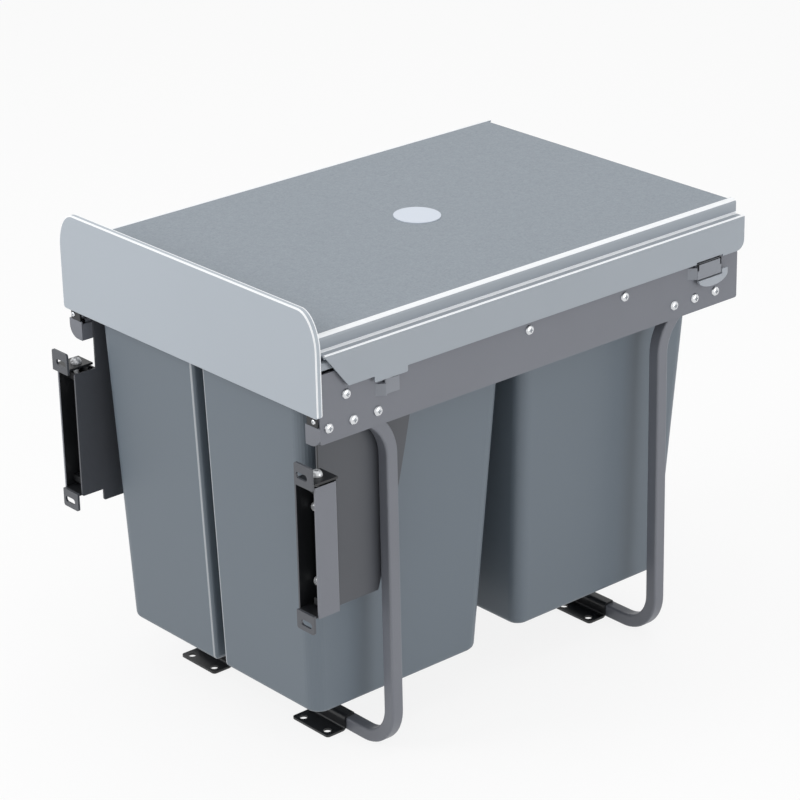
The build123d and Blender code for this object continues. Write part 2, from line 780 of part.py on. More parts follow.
# Lid profile: shoulder, ledge, raised lip and hanging skirt, with a hook over the rail plate
def make_lid_profile():
    half_wall = profile_wall / 2
    edge_x = shoulder_x - shoulder_width
    wall_x = shoulder_x - half_wall
    skirt_x = half_width - half_wall
    hook_x = shoulder_x - profile_wall + hook_reach - half_wall
    shelf_z = lid_z - hook_drop - half_wall
    seat_z = lid_z - lid_thickness
    with BuildPart() as profile:
        with BuildSketch(across(back_y)) as section:
            span(half_width - lip_width, ledge_z - profile_wall, half_width,
                 ledge_z + lip_height)
            fillet(section.vertices().group_by(Axis.Y)[-1], radius=lip_height)
            with BuildLine():
                FilletPolyline(
                    (edge_x, lid_z - half_wall), (wall_x, lid_z - half_wall),
                    (wall_x, ledge_z - half_wall), (skirt_x, ledge_z - half_wall),
                    (skirt_x, skirt_bottom_z),
                    radius=[shoulder_radius - half_wall, profile_bend_radius,
                            profile_bend_radius])
            trace(line_width=profile_wall)
            with BuildLine():
                FilletPolyline(
                    (wall_x, ledge_z), (wall_x, shelf_z), (hook_x, shelf_z),
                    (hook_x, shelf_z + half_wall - hook_leg),
                    radius=profile_bend_radius)
            trace(line_width=profile_wall)
            span(edge_x - lid_seat_width, seat_z - profile_wall, wall_x, seat_z)
        extrude(amount=back_y - lid_front_y)

        tail = profile.edges().filter_by(Axis.X).group_by(Axis.Z)[0].sort_by(Axis.Y)[-1]
        fillet(tail, radius=skirt_corner_radius)
        with BuildSketch(along(skirt_inner_x)):
            with BuildLine():
                Polyline((lid_front_y, ledge_z),
                         (lid_front_y + skirt_cut_run, skirt_bottom_z),
                         (lid_front_y, skirt_bottom_z), close=True)
            make_face()
        extrude(amount=profile_wall, mode=Mode.SUBTRACT)
        block(skirt_inner_x, notch_front_y, skirt_bottom_z, half_width,
              notch_front_y + notch_length, notch_top_z, mode=Mode.SUBTRACT)
        with BuildSketch(along(skirt_inner_x)) as tab:
            span(tab_front_y, tab_bottom_z, tab_front_y + tab_length, skirt_bottom_z)
            fillet(tab.vertices().group_by(Axis.Y)[0], radius=profile_wall)
        extrude(amount=profile_wall)
    save_pair(profile.part, "lid_profile")


# Front clip: two blocks on one base, under the tab of the lid's skirt
def make_front_clips():
    top_z = tab_bottom_z - running_gap
    bottom_z = top_z - clip_height
    split_y = tab_front_y + clip_front_length
    back_start_y = split_y + clip_split
    with BuildPart() as clip:
        block(plate_outer_x, tab_front_y, bottom_z, plate_outer_x + clip_depth, split_y, top_z)
        fillet(clip.faces().sort_by(Axis.X)[-1].edges(), radius=clip_round)
        block(plate_outer_x, back_start_y, bottom_z, plate_outer_x + clip_back_depth,
              back_start_y + clip_back_length, top_z + clip_step)
        block(plate_outer_x, split_y, bottom_z, plate_outer_x + clip_back_depth / 2,
              back_start_y, top_z)
    save_pair(clip.part, "lid_clip_front")


# Rear clip: a stop block and a catch plate with two ears for the pin of the thumb catch
def make_rear_clips():
    plate_front = notch_front_y + running_gap
    plate_x = plate_outer_x + catch_plate_depth
    block_top_z = skirt_bottom_z - running_gap
    block_bottom_z = block_top_z - catch_block_height
    with BuildPart() as clip:
        block(plate_outer_x, plate_front - catch_block_length, block_bottom_z,
              plate_outer_x + catch_block_depth, plate_front, block_top_z)
        block(plate_outer_x, plate_front, catch_top_z - catch_plate_height, plate_x,
              plate_front + catch_plate_length - running_gap * 2, catch_top_z)
        fillet(clip.faces().sort_by(Axis.X)[-1].edges().filter_by(Axis.Z), radius=clip_round)
        for ear_y in catch_ear_ys():
            block(plate_x, ear_y, catch_pin_z - catch_ear_diameter / 2, catch_pin_x,
                  ear_y + catch_ear_length, catch_pin_z + catch_ear_diameter / 2)
            with Locations(door_seat(catch_pin_x, ear_y, catch_pin_z)):
                Cylinder(catch_ear_diameter / 2, catch_ear_length, align=high_centered)
                Cylinder(catch_pin_diameter / 2 + hole_clearance / 2, catch_ear_length,
                         align=high_centered, mode=Mode.SUBTRACT)
    save_pair(clip.part, "lid_clip_rear")

    first, second = catch_ear_ys()
    with BuildPart() as pin:
        with Locations(door_seat(catch_pin_x, first, catch_pin_z)):
            Cylinder(catch_pin_diameter / 2, second + catch_ear_length - first,
                     align=high_centered)
    save_pair(pin.part, "catch_pin")

    hub_start = first + catch_ear_length + running_gap
    hub_length = second - running_gap - hub_start
    tab_x = plate_x + catch_tab_gap
    tab_top_z = catch_pin_z - catch_ear_diameter / 2 - catch_tab_top_gap
    with BuildPart() as catch:
        with BuildSketch(along(tab_x)) as face:
            span(notch_front_y + catch_ear_inset, tab_top_z - catch_tab_height,
                 notch_front_y + catch_ear_inset + catch_tab_length, tab_top_z)
            fillet(face.vertices().group_by(Axis.Y)[0], radius=catch_tab_radius)
        extrude(amount=catch_tab_thickness)
        block(tab_x, hub_start, tab_top_z, tab_x + catch_tab_thickness,
              hub_start + hub_length, catch_pin_z)
        with Locations(door_seat(catch_pin_x, hub_start, catch_pin_z)):
            Cylinder(catch_hub_diameter / 2, hub_length, align=high_centered)
            Cylinder(catch_pin_diameter / 2 + hole_clearance, hub_length,
                     align=high_centered, mode=Mode.SUBTRACT)
    save_pair(catch.part, "lid_catch")


def catch_ear_ys():
    first = notch_front_y + catch_ear_inset
    last = notch_front_y + notch_length - catch_ear_inset - catch_ear_length
    return first, last


# Side plate: hangs from the side rail and reaches forward as the wall of the door channel
def make_side_plate():
    low_back = (side_front_y + side_base_length, side_bottom_z)
    middle = (side_front_y + side_middle_length, (side_bottom_z + side_top_z) / 2)
    high_back = (side_front_y + side_top_length, side_top_z)
    with BuildPart() as side_plate:
        with BuildSketch(along(rail_inner_x - side_wall)) as outline:
            with BuildLine():
                Polyline(high_back, (side_front_y, side_top_z), (side_front_y, channel_top_z),
                         (channel_front_y, channel_top_z), (channel_front_y, channel_bottom_z),
                         (side_front_y, channel_bottom_z), (side_front_y, side_bottom_z),
                         low_back)
                ThreePointArc(low_back, middle, high_back)
            make_face()
            fillet(outline.vertices(), radius=side_corner_radius)
        extrude(amount=side_wall)
    save_pair(side_plate.part, "side_plate")


# Door channel: back wall and outer wall, with threaded blocks for the height screws
def make_door_channel():
    back_wall_y = channel_back_y - channel_wall / 2
    outer_wall_x = channel_outer_x - channel_wall / 2
    inside_x = channel_outer_x - channel_wall
    block_front_y = door_screw_y - nut_block_depth / 2
    with BuildPart() as channel:
        bent_sheet(Plane.XY.offset(channel_bottom_z),
                   [(rail_inner_x, back_wall_y), (outer_wall_x, back_wall_y),
                    (outer_wall_x, channel_front_y)],
                   channel_bend_radius, channel_wall, channel_height)
        for z in lock_screw_zs:
            with Locations(door_seat(lock_screw_x, channel_back_y, z)):
                Cylinder(channel_collar_diameter / 2, channel_wall + channel_collar_height,
                         align=low_centered)
                Cylinder(lock_screw_diameter / 2 + hole_clearance,
                         channel_wall + channel_collar_height, align=low_centered,
                         mode=Mode.SUBTRACT)
        for z in (channel_bottom_z + nut_block_inset,
                  channel_top_z - nut_block_inset - nut_block_height):
            block(inside_x - nut_block_width, block_front_y, z, inside_x,
                  block_front_y + nut_block_depth, z + nut_block_height)
            with Locations((door_screw_x, door_screw_y, z)):
                Cylinder(door_screw_diameter / 2 + hole_clearance, nut_block_height,
                         align=low_centered, mode=Mode.SUBTRACT)
    save_pair(channel.part, "door_channel")

    head_y = door_web_y - running_gap
    with BuildPart() as lock_screws:
        for z in lock_screw_zs:
            with Locations(door_seat(lock_screw_x, head_y, z)):
                Cylinder(lock_screw_head / 2, lock_screw_height, align=low_centered)
        fillet(lock_screws.edges().group_by(Axis.Y)[0], radius=lock_screw_height - running_gap)
        for z in lock_screw_zs:
            with Locations(door_seat(lock_screw_x, head_y, z)):
                Cylinder(lock_screw_diameter / 2, channel_back_y - head_y - running_gap,
                         align=high_centered)
    save_pair(lock_screws.part, "lock_screws")


# Door plate: a web in the channel with a flange and a slotted tab at either end
def make_door_plate():
    half_wall = door_plate_wall / 2
    low_x = rail_inner_x + channel_width + door_tab_overhang - door_tab_width
    web_x = (rail_inner_x + channel_outer_x - channel_wall) / 2
    tab_y = front_y + half_wall
    flange_back_y = front_y + door_flange_length
    top_z = channel_top_z + door_plate_gap
    bottom_z = channel_bottom_z - door_plate_gap
    with BuildPart() as door_plate:
        for seat_z, way in ((top_z, 1), (bottom_z, -1)):
            flange_z = seat_z + way * half_wall
            tab_end_z = seat_z + way * door_tab_height
            bent_sheet(along(low_x),
                       [(flange_back_y, flange_z), (tab_y, flange_z), (tab_y, tab_end_z)],
                       door_bend_radius, door_plate_wall, door_tab_width)
            with BuildSketch(across(front_y + door_plate_wall)):
                with Locations((door_slot_x, seat_z + way * door_slot_height)):
                    SlotOverall(door_slot_length, door_slot_width)
            extrude(amount=door_plate_wall, mode=Mode.SUBTRACT)
            with Locations((door_screw_x, door_screw_y, flange_z)):
                Cylinder(door_screw_diameter / 2 + hole_clearance, 2 * door_plate_wall,
                         mode=Mode.SUBTRACT)
        block(web_x - door_web_width / 2, door_web_y, bottom_z, web_x + door_web_width / 2,
              door_web_y + door_plate_wall, top_z)
        slot_width = lock_screw_diameter + 2 * running_gap
        with BuildSketch(across(door_web_y + door_plate_wall)):
            with Locations(*[(lock_screw_x, z) for z in lock_screw_zs]):
                SlotOverall(slot_width + 2 * door_travel, slot_width,
                            rotation=quarter_turn)
        extrude(amount=door_plate_wall, mode=Mode.SUBTRACT)
        corners = door_plate.edges().filter_by(Axis.Y).group_by(Axis.Z)
        fillet(corners[0] + corners[-1], radius=door_tab_round)
    save_pair(door_plate.part, "door_plate")

    for name, seat_z, way in (("upper", top_z, 1), ("lower", bottom_z, -1)):
        head_z = seat_z + way * (door_plate_wall + hole_clearance)
        seat = Plane(origin=(door_screw_x, door_screw_y, head_z), x_dir=(1, 0, 0),
                     z_dir=(0, 0, way))
        with BuildPart() as height_screw:
            with Locations(seat):
                Cylinder(door_screw_head / 2, door_screw_height, align=low_centered)
                rims = height_screw.edges().group_by(Axis.Z)
                fillet(rims[-1] if way > 0 else rims[0], radius=door_head_round)
                Cylinder(door_screw_diameter / 2, door_screw_length, align=high_centered)
        save_pair(height_screw.part, "height_screw_" + name)


make_tube("front_tube", front_tube_y, -1)
make_tube("rear_tube", back_tube_y, 1)
make_feet()
make_rail_plate()
make_rail_screws()
make_slides()
make_cages()
make_carriage_rails()
make_carriage_bars()
make_bins()
make_front_panel()
make_panel_brackets()
make_lid_panel()
make_lid_profile()
make_front_clips()
make_rear_clips()
make_side_plate()
make_door_channel()
make_door_plate()
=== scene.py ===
# %% [markdown]
# # A pull-out waste bin unit
# This unit stands in a kitchen base cabinet. A carriage with three grey bins runs out on
# ball slides under a lid that stays behind, and two bent tubes carry everything.
# The solids of every piece come ready made. Here each gets the finish of the real
# piece. The front bins, screws, clips and door plates catch the eye, so they are modelled
# anew with finer forms and stand in place of their solids.

# %% Load the frame
import json
from math import cos, pi, radians, sin

import bmesh
import bpy
from mathutils import Matrix, Vector


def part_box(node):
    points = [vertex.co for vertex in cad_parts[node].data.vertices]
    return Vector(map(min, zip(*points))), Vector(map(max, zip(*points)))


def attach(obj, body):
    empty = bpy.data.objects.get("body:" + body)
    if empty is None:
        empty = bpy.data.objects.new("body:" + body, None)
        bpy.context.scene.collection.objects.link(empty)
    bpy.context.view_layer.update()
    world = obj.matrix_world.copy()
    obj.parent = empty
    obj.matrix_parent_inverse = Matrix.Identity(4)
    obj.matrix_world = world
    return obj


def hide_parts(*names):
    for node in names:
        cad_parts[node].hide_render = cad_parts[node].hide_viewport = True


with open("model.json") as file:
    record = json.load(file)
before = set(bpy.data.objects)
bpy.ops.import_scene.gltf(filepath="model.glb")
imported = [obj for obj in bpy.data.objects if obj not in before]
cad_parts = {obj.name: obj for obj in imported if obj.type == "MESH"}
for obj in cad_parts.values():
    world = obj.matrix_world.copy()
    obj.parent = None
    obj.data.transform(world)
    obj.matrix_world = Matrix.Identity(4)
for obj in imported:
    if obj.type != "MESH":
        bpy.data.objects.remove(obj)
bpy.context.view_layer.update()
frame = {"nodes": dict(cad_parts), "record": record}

# %% [markdown]
# ## The camera
# The picture was taken with a long lens from the right front corner, a little above the
# lid. A constraint could aim a camera, but it would lose the small tilt, so the matrix is
# built from three directions. Blender's camera looks along its own -Z, so the columns are
# its right, its up and its back. Place and lens were worked out beforehand from the edges
# of the unit, in pixels of a square picture.

# %% Camera
camera_place = Vector((1.8590, -1.5925, 1.2560))
aim = Vector((0.0, 0.0055, 0.209))
tilt = radians(-1.17)
picture_pixels = 800
focal_pixels = 3023.2
shift_pixels = (-9.0, 17.5)
sensor_width = 36.0
view_reach = 50.0

forward = (aim - camera_place).normalized()
level_right = forward.cross(Vector((0, 0, 1))).normalized()
level_up = level_right.cross(forward)
camera_right = level_right * cos(tilt) + level_up * sin(tilt)
camera_up = level_up * cos(tilt) - level_right * sin(tilt)
lens = bpy.data.cameras.new("camera")
lens.sensor_width = sensor_width
lens.lens = focal_pixels / picture_pixels * sensor_width
lens.shift_x, lens.shift_y = (shift / picture_pixels for shift in shift_pixels)
lens.clip_end = view_reach
camera = bpy.data.objects.new("camera", lens)
camera_turn = Matrix((camera_right, camera_up, -forward)).transposed().to_4x4()
camera.matrix_world = Matrix.Translation(camera_place) @ camera_turn
bpy.context.scene.collection.objects.link(camera)
bpy.context.scene.camera = camera
print("lens", round(lens.lens, 1), "mm, distance", round((aim - camera_place).length, 2), "m")

# %% [markdown]
# ## Writing shader maths as sums
# A finish mixes noises, heights and colours. Wired by hand that takes many lines, so a
# small class wraps a socket: adding or multiplying two of them adds the Math node that
# does it. The reflected forms let a plain number stand first, as in one minus a mask.

# %% Sockets that stand in sums
def plug(tree, slot, given):
    """Links a wrapped socket, or writes a plain value, into a slot."""
    if isinstance(given, Amount):
        tree.links.new(given.socket, slot)
    else:
        slot.default_value = given


class Amount:
    """A socket that can stand in a sum."""

    def __init__(self, socket):
        self.socket = socket

    def work(self, operation, first, second):
        tree = self.socket.id_data
        node = tree.nodes.new("ShaderNodeMath")
        node.operation = operation
        plug(tree, node.inputs[0], first)
        plug(tree, node.inputs[1], second)
        return Amount(node.outputs[0])

    def __add__(self, other):
        return self.work("ADD", self, other)

    def __radd__(self, other):
        return self.work("ADD", other, self)

    def __sub__(self, other):
        return self.work("SUBTRACT", self, other)

    def __rsub__(self, other):
        return self.work("SUBTRACT", other, self)

    def __mul__(self, other):
        return self.work("MULTIPLY", self, other)

    def __rmul__(self, other):
        return self.work("MULTIPLY", other, self)


print("sums of sockets ready")

# %% [markdown]
# ## One method for any other node
# Each kind of node could have a helper of its own. One method that takes the kind, its
# settings and its sockets is shorter and serves the world and every finish alike.

# %% Nodes of a tree
class Nodes:
    """The nodes of one tree."""

    def __init__(self, tree):
        self.tree = tree

    def node(self, kind, settings, sockets, output=0):
        """Any node: its settings first, then its sockets."""
        node = self.tree.nodes.new(kind)
        for key, value in settings.items():
            setattr(node, key, value)
        for key, value in sockets.items():
            plug(self.tree, node.inputs[key], value)
        return Amount(node.outputs[output])

    def larger(self, first, second):
        """The larger of two numbers, which joins two masks."""
        return self.node("ShaderNodeMath", {"operation": "MAXIMUM"}, {0: first, 1: second})

    def seen_or_mirrored(self):
        """1 for what the camera or a reflection sees, 0 for what lights the scene."""
        return self.larger(self.node("ShaderNodeLightPath", {}, {}, "Is Camera Ray"),
                           self.node("ShaderNodeLightPath", {}, {}, "Is Glossy Ray"))


print("node method ready")

# %% [markdown]
# ## Studio light
# Product pictures like this one are lit softly from all round, so that no side falls dark.
# A picture of a studio could light the world, but an even pale world gives the same base
# with nothing to load. It looks white to the camera and in reflections. A wide lamp over
# the left shoulder of the camera models the front, a low one from the right lifts the
# long side, and one overhead lights the lid.

# %% World and lamps
world_light = 0.55
world_shown = 1.0
bpy.context.scene.view_settings.view_transform = "Standard"
world = bpy.data.worlds.new("studio")
bpy.context.scene.world = world
world.use_nodes = True
air = Nodes(world.node_tree)
sky = air.tree.nodes["Background"]
sky.inputs["Color"].default_value = (1, 1, 1, 1)
plug(air.tree, sky.inputs["Strength"],
     air.seen_or_mirrored() * (world_shown - world_light) + world_light)


def lamp(name, place, aim_at, size, power):
    """A square area lamp that looks at a point."""
    light = bpy.data.lights.new(name, "AREA")
    light.shape = "SQUARE"
    light.size = size
    light.energy = power
    holder = bpy.data.objects.new(name, light)
    holder.location = place
    holder.rotation_euler = (Vector(aim_at) - Vector(place)).to_track_quat("-Z", "Y").to_euler()
    bpy.context.scene.collection.objects.link(holder)
    print(name, power, "W")


lamp("front_lamp", place=(-0.9, -2.2, 1.7), aim_at=(0, 0, 0.25), size=1.4, power=26)
lamp("side_lamp", place=(2.2, 0.5, 0.35), aim_at=(0, 0, 0.12), size=1.2, power=15)
lamp("top_lamp", place=(0.0, 0.3, 2.6), aim_at=(0, 0, 0.2), size=1.6, power=16)

# %% [markdown]
# ## What every finish is made of
# No real surface is one flat colour. Each finish here has a colour that wanders a little, a
# roughness that wanders with it, and a fine relief. Painted pictures could do this, but noises on
# the place of a point need no unwrapping and stay sharp close up. The same place gives masks,
# which say where a highlight is painted on a rim or shade is painted into the inside of a trough.

# %% Finishes
noise_roughness = 0.55


def shade(colour, factor):
    """The same hue, lighter or darker, as a colour with alpha."""
    return tuple(min(1.0, part * factor) for part in colour) + (1.0,)


class Finish(Nodes):
    """One material: a principled shader and the nodes that vary it."""

    def __init__(self, name, **constants):
        self.material = bpy.data.materials.new(name)
        self.material.use_nodes = True
        super().__init__(self.material.node_tree)
        self.shader = self.tree.nodes["Principled BSDF"]
        for slot, value in constants.items():
            self.shader.inputs[slot.replace("_", " ").title()].default_value = value

    def place(self):
        """Where a point lies on the piece, in metres."""
        return self.node("ShaderNodeTexCoord", {}, {}, "Object")

    def noise(self, scale, detail, place=None):
        """A soft random pattern, so many waves to the metre."""
        return self.node("ShaderNodeTexNoise", {},
                         {"Vector": place or self.place(), "Scale": scale,
                          "Detail": detail, "Roughness": noise_roughness})

    def blend(self, factor, first, second):
        """A colour between two colours."""
        return self.node("ShaderNodeMix", {"data_type": "RGBA"},
                         {"Factor": factor, 6: first, 7: second}, 2)

    def mottle(self, cloud, colour, spread):
        """A colour that grows a little darker and lighter with a cloud."""
        return self.blend(cloud, shade(colour, 1 - spread), shade(colour, 1 + spread))

    def axis(self, letter, unsigned=False):
        """One coordinate of a point on the piece, with or without its sign."""
        value = self.node("ShaderNodeSeparateXYZ", {}, {"Vector": self.place()}, letter)
        if unsigned:
            value = self.node("ShaderNodeMath", {"operation": "ABSOLUTE"}, {0: value})
        return value

    def above(self, value, limit):
        """1 where a value is over a limit, else 0."""
        return self.node("ShaderNodeMath", {"operation": "GREATER_THAN"}, {0: value, 1: limit})

    def within(self, value, low, high):
        """1 where a value lies between two limits, else 0."""
        return self.above(value, low) * (1.0 - self.above(value, high))

    def send(self, slot, given):
        """Feeds one of the shader's own sockets."""
        plug(self.tree, self.shader.inputs[slot], given)

    def wander(self, cloud, middle, spread):
        """Roughness that lies either side of a middle value."""
        self.send("Roughness", cloud * spread + (middle - spread / 2))

    def bump(self, height, distance, strength):
        """Turns a height, in units of distance, into relief."""
        self.send("Normal", self.node("ShaderNodeBump", {},
                                      {"Height": height, "Distance": distance,
                                       "Strength": strength}))


print("finishes can be mixed")

# %% [markdown]
# ## Powder coat on the steel
# The tubes, rail plates and door brackets are steel under a baked powder coat, a dull
# purplish grey. Powder coat has a very fine orange peel. Real bumps would take millions
# of faces, so a noise with short waves makes them in the relief.

# %% Powder coats
steel_grey = (0.172, 0.181, 0.208)
# The steel grey darkened, as painted shade for the side plates and door plates, which stand in
# shadow.
shaded_steel_grey = (0.076, 0.081, 0.093)
# Black for the black paint, and for the shade painted into the troughs.
black_paint_and_shade_grey = (0.010, 0.011, 0.013)


def powder_coat(name, colour, roughness, painted_shade_mask=None):
    """A dull coat with a fine orange peel, with black shade painted where its mask is 1."""
    finish = Finish(name)
    cloud = finish.noise(scale=9.0, detail=4.0)
    tint = finish.mottle(cloud, colour, spread=0.07)
    if painted_shade_mask:
        tint = finish.blend(painted_shade_mask(finish), tint, shade(black_paint_and_shade_grey, 1.0))
    finish.send("Base Color", tint)
    finish.wander(cloud, middle=roughness, spread=0.12)
    finish.bump(finish.noise(scale=900.0, detail=2.0), distance=0.00006, strength=0.35)
    return finish.material


steel_coat = powder_coat("steel_coat", steel_grey, roughness=0.42)
black_coat = powder_coat("black_coat", black_paint_and_shade_grey, roughness=0.38)
print("powder coats ready")

# %% [markdown]
# The door channel is a trough. Its inside is painted black as shade, while its outer side has the
# grey of the rail. The door plate has black shade painted on too, all but the tabs in front, and
# so has the side plate behind the trough. Each piece could be cut into a grey and a black half,
# but a mask on the place of a point tells the two apart and leaves the solid whole.

# %% Trough and door plate coats
channel_low, channel_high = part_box("door_channel_right")
plate_low, plate_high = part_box("door_plate_right")
coat_skin = 0.0004
tab_wall = 0.002


def trough_shade(finish):
    """The inside of the door channel, where black shade is painted."""
    across = 1.0 - finish.above(finish.axis("X", True), channel_high.x - coat_skin)
    return across * finish.within(finish.axis("Y"), channel_low.y + coat_skin,
                                  channel_high.y - coat_skin)


def tab_shade(finish):
    """All of the door plate that lies behind its tabs, where black shade is painted."""
    return finish.above(finish.axis("Y"), plate_low.y + tab_wall + coat_skin)


def side_shade(finish):
    """The stretch of the side plate that closes the trough, where black shade is painted."""
    face = finish.above(finish.axis("X", True), channel_low.x - coat_skin)
    return face * finish.within(finish.axis("Y"), channel_low.y + coat_skin, channel_high.y)


plate_coat = powder_coat("plate_coat", shaded_steel_grey, roughness=0.42, painted_shade_mask=side_shade)
channel_coat = powder_coat("channel_coat", steel_grey, roughness=0.42, painted_shade_mask=trough_shade)
door_coat = powder_coat("door_coat", shaded_steel_grey, roughness=0.40, painted_shade_mask=tab_shade)
print("trough", [round(value, 4) for value in channel_low], "to",
      [round(value, 4) for value in channel_high])

# %% [markdown]
# ## Zinc
# The screws and slides are bright zinc. A grey paint could stand in for it, but zinc is a
# metal, so its colour is its reflection, and thin clouds in the roughness keep it from
# looking like a mirror. The screws of the door plates sit in black troughs and would
# mirror nothing but black, so theirs is only partly metal.

# %% Zinc
zinc_dark = (0.60, 0.62, 0.64, 1)
zinc_light = (0.80, 0.81, 0.83, 1)


def zinc_plate(name, roughness, metal):
    """Clouded zinc, more or less of a metal."""
    finish = Finish(name, metallic=metal)
    cloud = finish.noise(scale=160.0, detail=3.0)
    finish.send("Base Color", finish.blend(cloud, zinc_dark, zinc_light))
    finish.wander(cloud, middle=roughness, spread=0.14)
    finish.bump(finish.noise(scale=1500.0, detail=2.0), distance=0.00003, strength=0.3)
    return finish.material


zinc = zinc_plate("zinc", roughness=0.23, metal=1.0)
bright_zinc = zinc_plate("bright_zinc", roughness=0.27, metal=0.35)
print("zinc ready")

# %% [markdown]
# ## Moulded plastics
# The bins are injection moulded in a blue grey with an even satin surface. The panel and the
# lid's side profiles are a lighter silver grey and a little glossier. One function makes them
# all, because they differ only in colour, gloss and the highlights painted along their rims.

# %% Plastics
bin_grey = (0.136, 0.166, 0.197)
clip_grey = (0.235, 0.25, 0.28)
catch_grey = (0.36, 0.39, 0.43)
badge_grey = (0.64, 0.70, 0.79)
# White painted into the rims as highlights.
painted_highlight_white = (0.93, 0.95, 0.97, 1.0)


def moulded(name, colour, roughness, highlight_mask=None):
    """A satin plastic, with a painted highlight where its mask is 1."""
    finish = Finish(name)
    cloud = finish.noise(scale=5.0, detail=3.0)
    tint = finish.mottle(cloud, colour, spread=0.04)
    if highlight_mask:
        tint = finish.blend(highlight_mask(finish), tint, painted_highlight_white)
    finish.send("Base Color", tint)
    finish.wander(cloud, middle=roughness, spread=0.08)
    finish.bump(finish.noise(scale=1200.0, detail=2.0), distance=0.00003, strength=0.25)
    return finish.material


bin_plastic = moulded("bin_plastic", bin_grey, roughness=0.44)
clip_plastic = moulded("clip_plastic", clip_grey, roughness=0.45)
catch_plastic = moulded("catch_plastic", catch_grey, roughness=0.4)
badge_plastic = moulded("badge_plastic", badge_grey, roughness=0.25)
print("plastics ready")

# %% [markdown]
# ## Painted highlights on the rims
# Along the rims of the silver mouldings, thin white lines are painted into the colour as
# highlights: round the panel, and along the ridge, the foot of the ledge and the lip of the lid's
# profiles. Thin strips of their own would stand proud of the moulding. A mask on the place of a
# point keeps each painted highlight in the surface, and it stays put when seen from any side.

# %% Rim of the panel
panel_low, panel_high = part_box("front_panel")
shoulder_width = 0.021
shoulder_drop = 0.033
rim_share = 0.962
front_rim = 0.0013
back_rim = 0.0009
panel_silver = (0.42, 0.465, 0.515)


def beyond(finish, value, limit, span):
    """How far a value is past a limit, as a share of a span, and 0 before it."""
    return finish.larger(value - limit, 0.0) * (1.0 / span)


def panel_rim_highlight(finish):
    """The painted highlight along the edge of the panel, which follows its drooping shoulders, in
    front and behind.
    """
    wide = beyond(finish, finish.axis("X", True), panel_high.x - shoulder_width, shoulder_width)
    tall = beyond(finish, finish.axis("Z"), panel_high.z - shoulder_drop, shoulder_drop)
    outline = finish.above(wide * wide + tall * tall, rim_share * rim_share)
    depth = finish.axis("Y")
    front = 1.0 - finish.above(depth, panel_low.y + front_rim)
    back = finish.above(depth, panel_high.y - back_rim)
    return outline * finish.larger(front, back)


panel_plastic = moulded("panel_plastic", panel_silver, roughness=0.34, highlight_mask=panel_rim_highlight)
print("panel rim", front_rim, "m deep in front and", back_rim, "behind")

# %% [markdown]
# The lid's profile has three painted highlight lines. Each lies in a band between two distances
# in from the profile's outer face, and stops at a height under its top.

# %% Rims of the lid profiles
profile_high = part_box("lid_profile_right")[1]
ridge_insets = (0.0161, 0.0113)
foot_insets = (0.0108, 0.0094)
lip_insets = (0.0028, 0.00005)
ridge_drop = 0.0080
foot_drop = 0.0114
ledge_drop = 0.0142
profile_silver = (0.335, 0.37, 0.41)


def profile_rim_highlights(finish):
    """Painted highlights on the ridge, the foot of the ledge and the lip."""
    out = finish.axis("X", True)
    height = finish.axis("Z")
    ridge, foot, lip = (finish.within(out, profile_high.x - far, profile_high.x - near)
                        for far, near in (ridge_insets, foot_insets, lip_insets))
    ledge_z = profile_high.z - ledge_drop
    ridge = ridge * finish.above(height, profile_high.z - ridge_drop)
    foot = foot * finish.within(height, ledge_z, profile_high.z - foot_drop)
    lip = lip * finish.above(height, ledge_z)
    return finish.larger(finish.larger(ridge, foot), lip)


profile_plastic = moulded("profile_plastic", profile_silver, roughness=0.34,
                          highlight_mask=profile_rim_highlights)
print("ridge", ridge_insets, "lip", lip_insets, "m in from the outer face")

# %% [markdown]
# ## The grained lid
# The lid's top has a fine leather grain. Carving it would take millions of faces, and a plain
# noise looks like sand. Cells of a Voronoi pattern with softened borders give the pebbles, and
# painted shade, lighter on the pebbles' tops and darker in the grooves between them, makes the
# grain visible from a step away.

# %% Lid grain
lid_grey = (0.262, 0.300, 0.340)
# The pebbles' tops are painted lighter and the grooves between them darker, as shade in the
# relief.
lit_top_factor, shaded_groove_factor = 1.12, 0.86
cell_share, drift_share = 0.8, 0.5


def grained(name, colour):
    """A leather grain of soft pebbles, with painted shade in its grooves."""
    finish = Finish(name)
    place = finish.place()
    drift = finish.noise(scale=260.0, detail=2.0, place=place)
    cell = finish.node("ShaderNodeTexVoronoi", {"feature": "SMOOTH_F1"},
                       {"Vector": place, "Scale": 620.0, "Smoothness": 0.7}, "Distance")
    pebble = cell * cell_share + drift * drift_share
    finish.send("Base Color", finish.blend(pebble, shade(colour, lit_top_factor),
                                           shade(colour, shaded_groove_factor)))
    finish.wander(drift, middle=0.54, spread=0.16)
    finish.bump(1.0 - pebble, distance=0.00018, strength=0.6)
    return finish.material


lid_grain = grained("lid_grain", lid_grey)
print("grain ready")

# %% [markdown]
# ## Giving each solid its finish
# Every solid arrives with the plain material of its slot, which names what the real piece
# is made of. The finishes could be given out piece by piece, but by slot is shorter. Only
# the pieces whose masks are their own are looked up by name first.

# %% Finishes by slot and by name
by_slot = {"grey_paint": steel_coat, "black_paint": black_coat, "zinc": zinc,
           "bin_plastic": bin_plastic, "silver_plastic": panel_plastic,
           "lid_plastic": lid_grain, "badge_white": badge_plastic,
           "clip_plastic": clip_plastic, "catch_plastic": catch_plastic}
slot_of = {part["node"]: part["material_slot"] for part in frame["record"]["subparts"]}
sides = {"right": 1, "left": -1}
by_name = {}
for side in sides:
    by_name[f"lid_profile_{side}"] = profile_plastic
    by_name[f"side_plate_{side}"] = plate_coat
    by_name[f"door_channel_{side}"] = channel_coat
for name, solid in frame["nodes"].items():
    solid.data.materials.clear()
    solid.data.materials.append(by_name.get(name, by_slot[slot_of[name]]))
print(len(slot_of), "solids finished,", len(by_name), "of them by name")

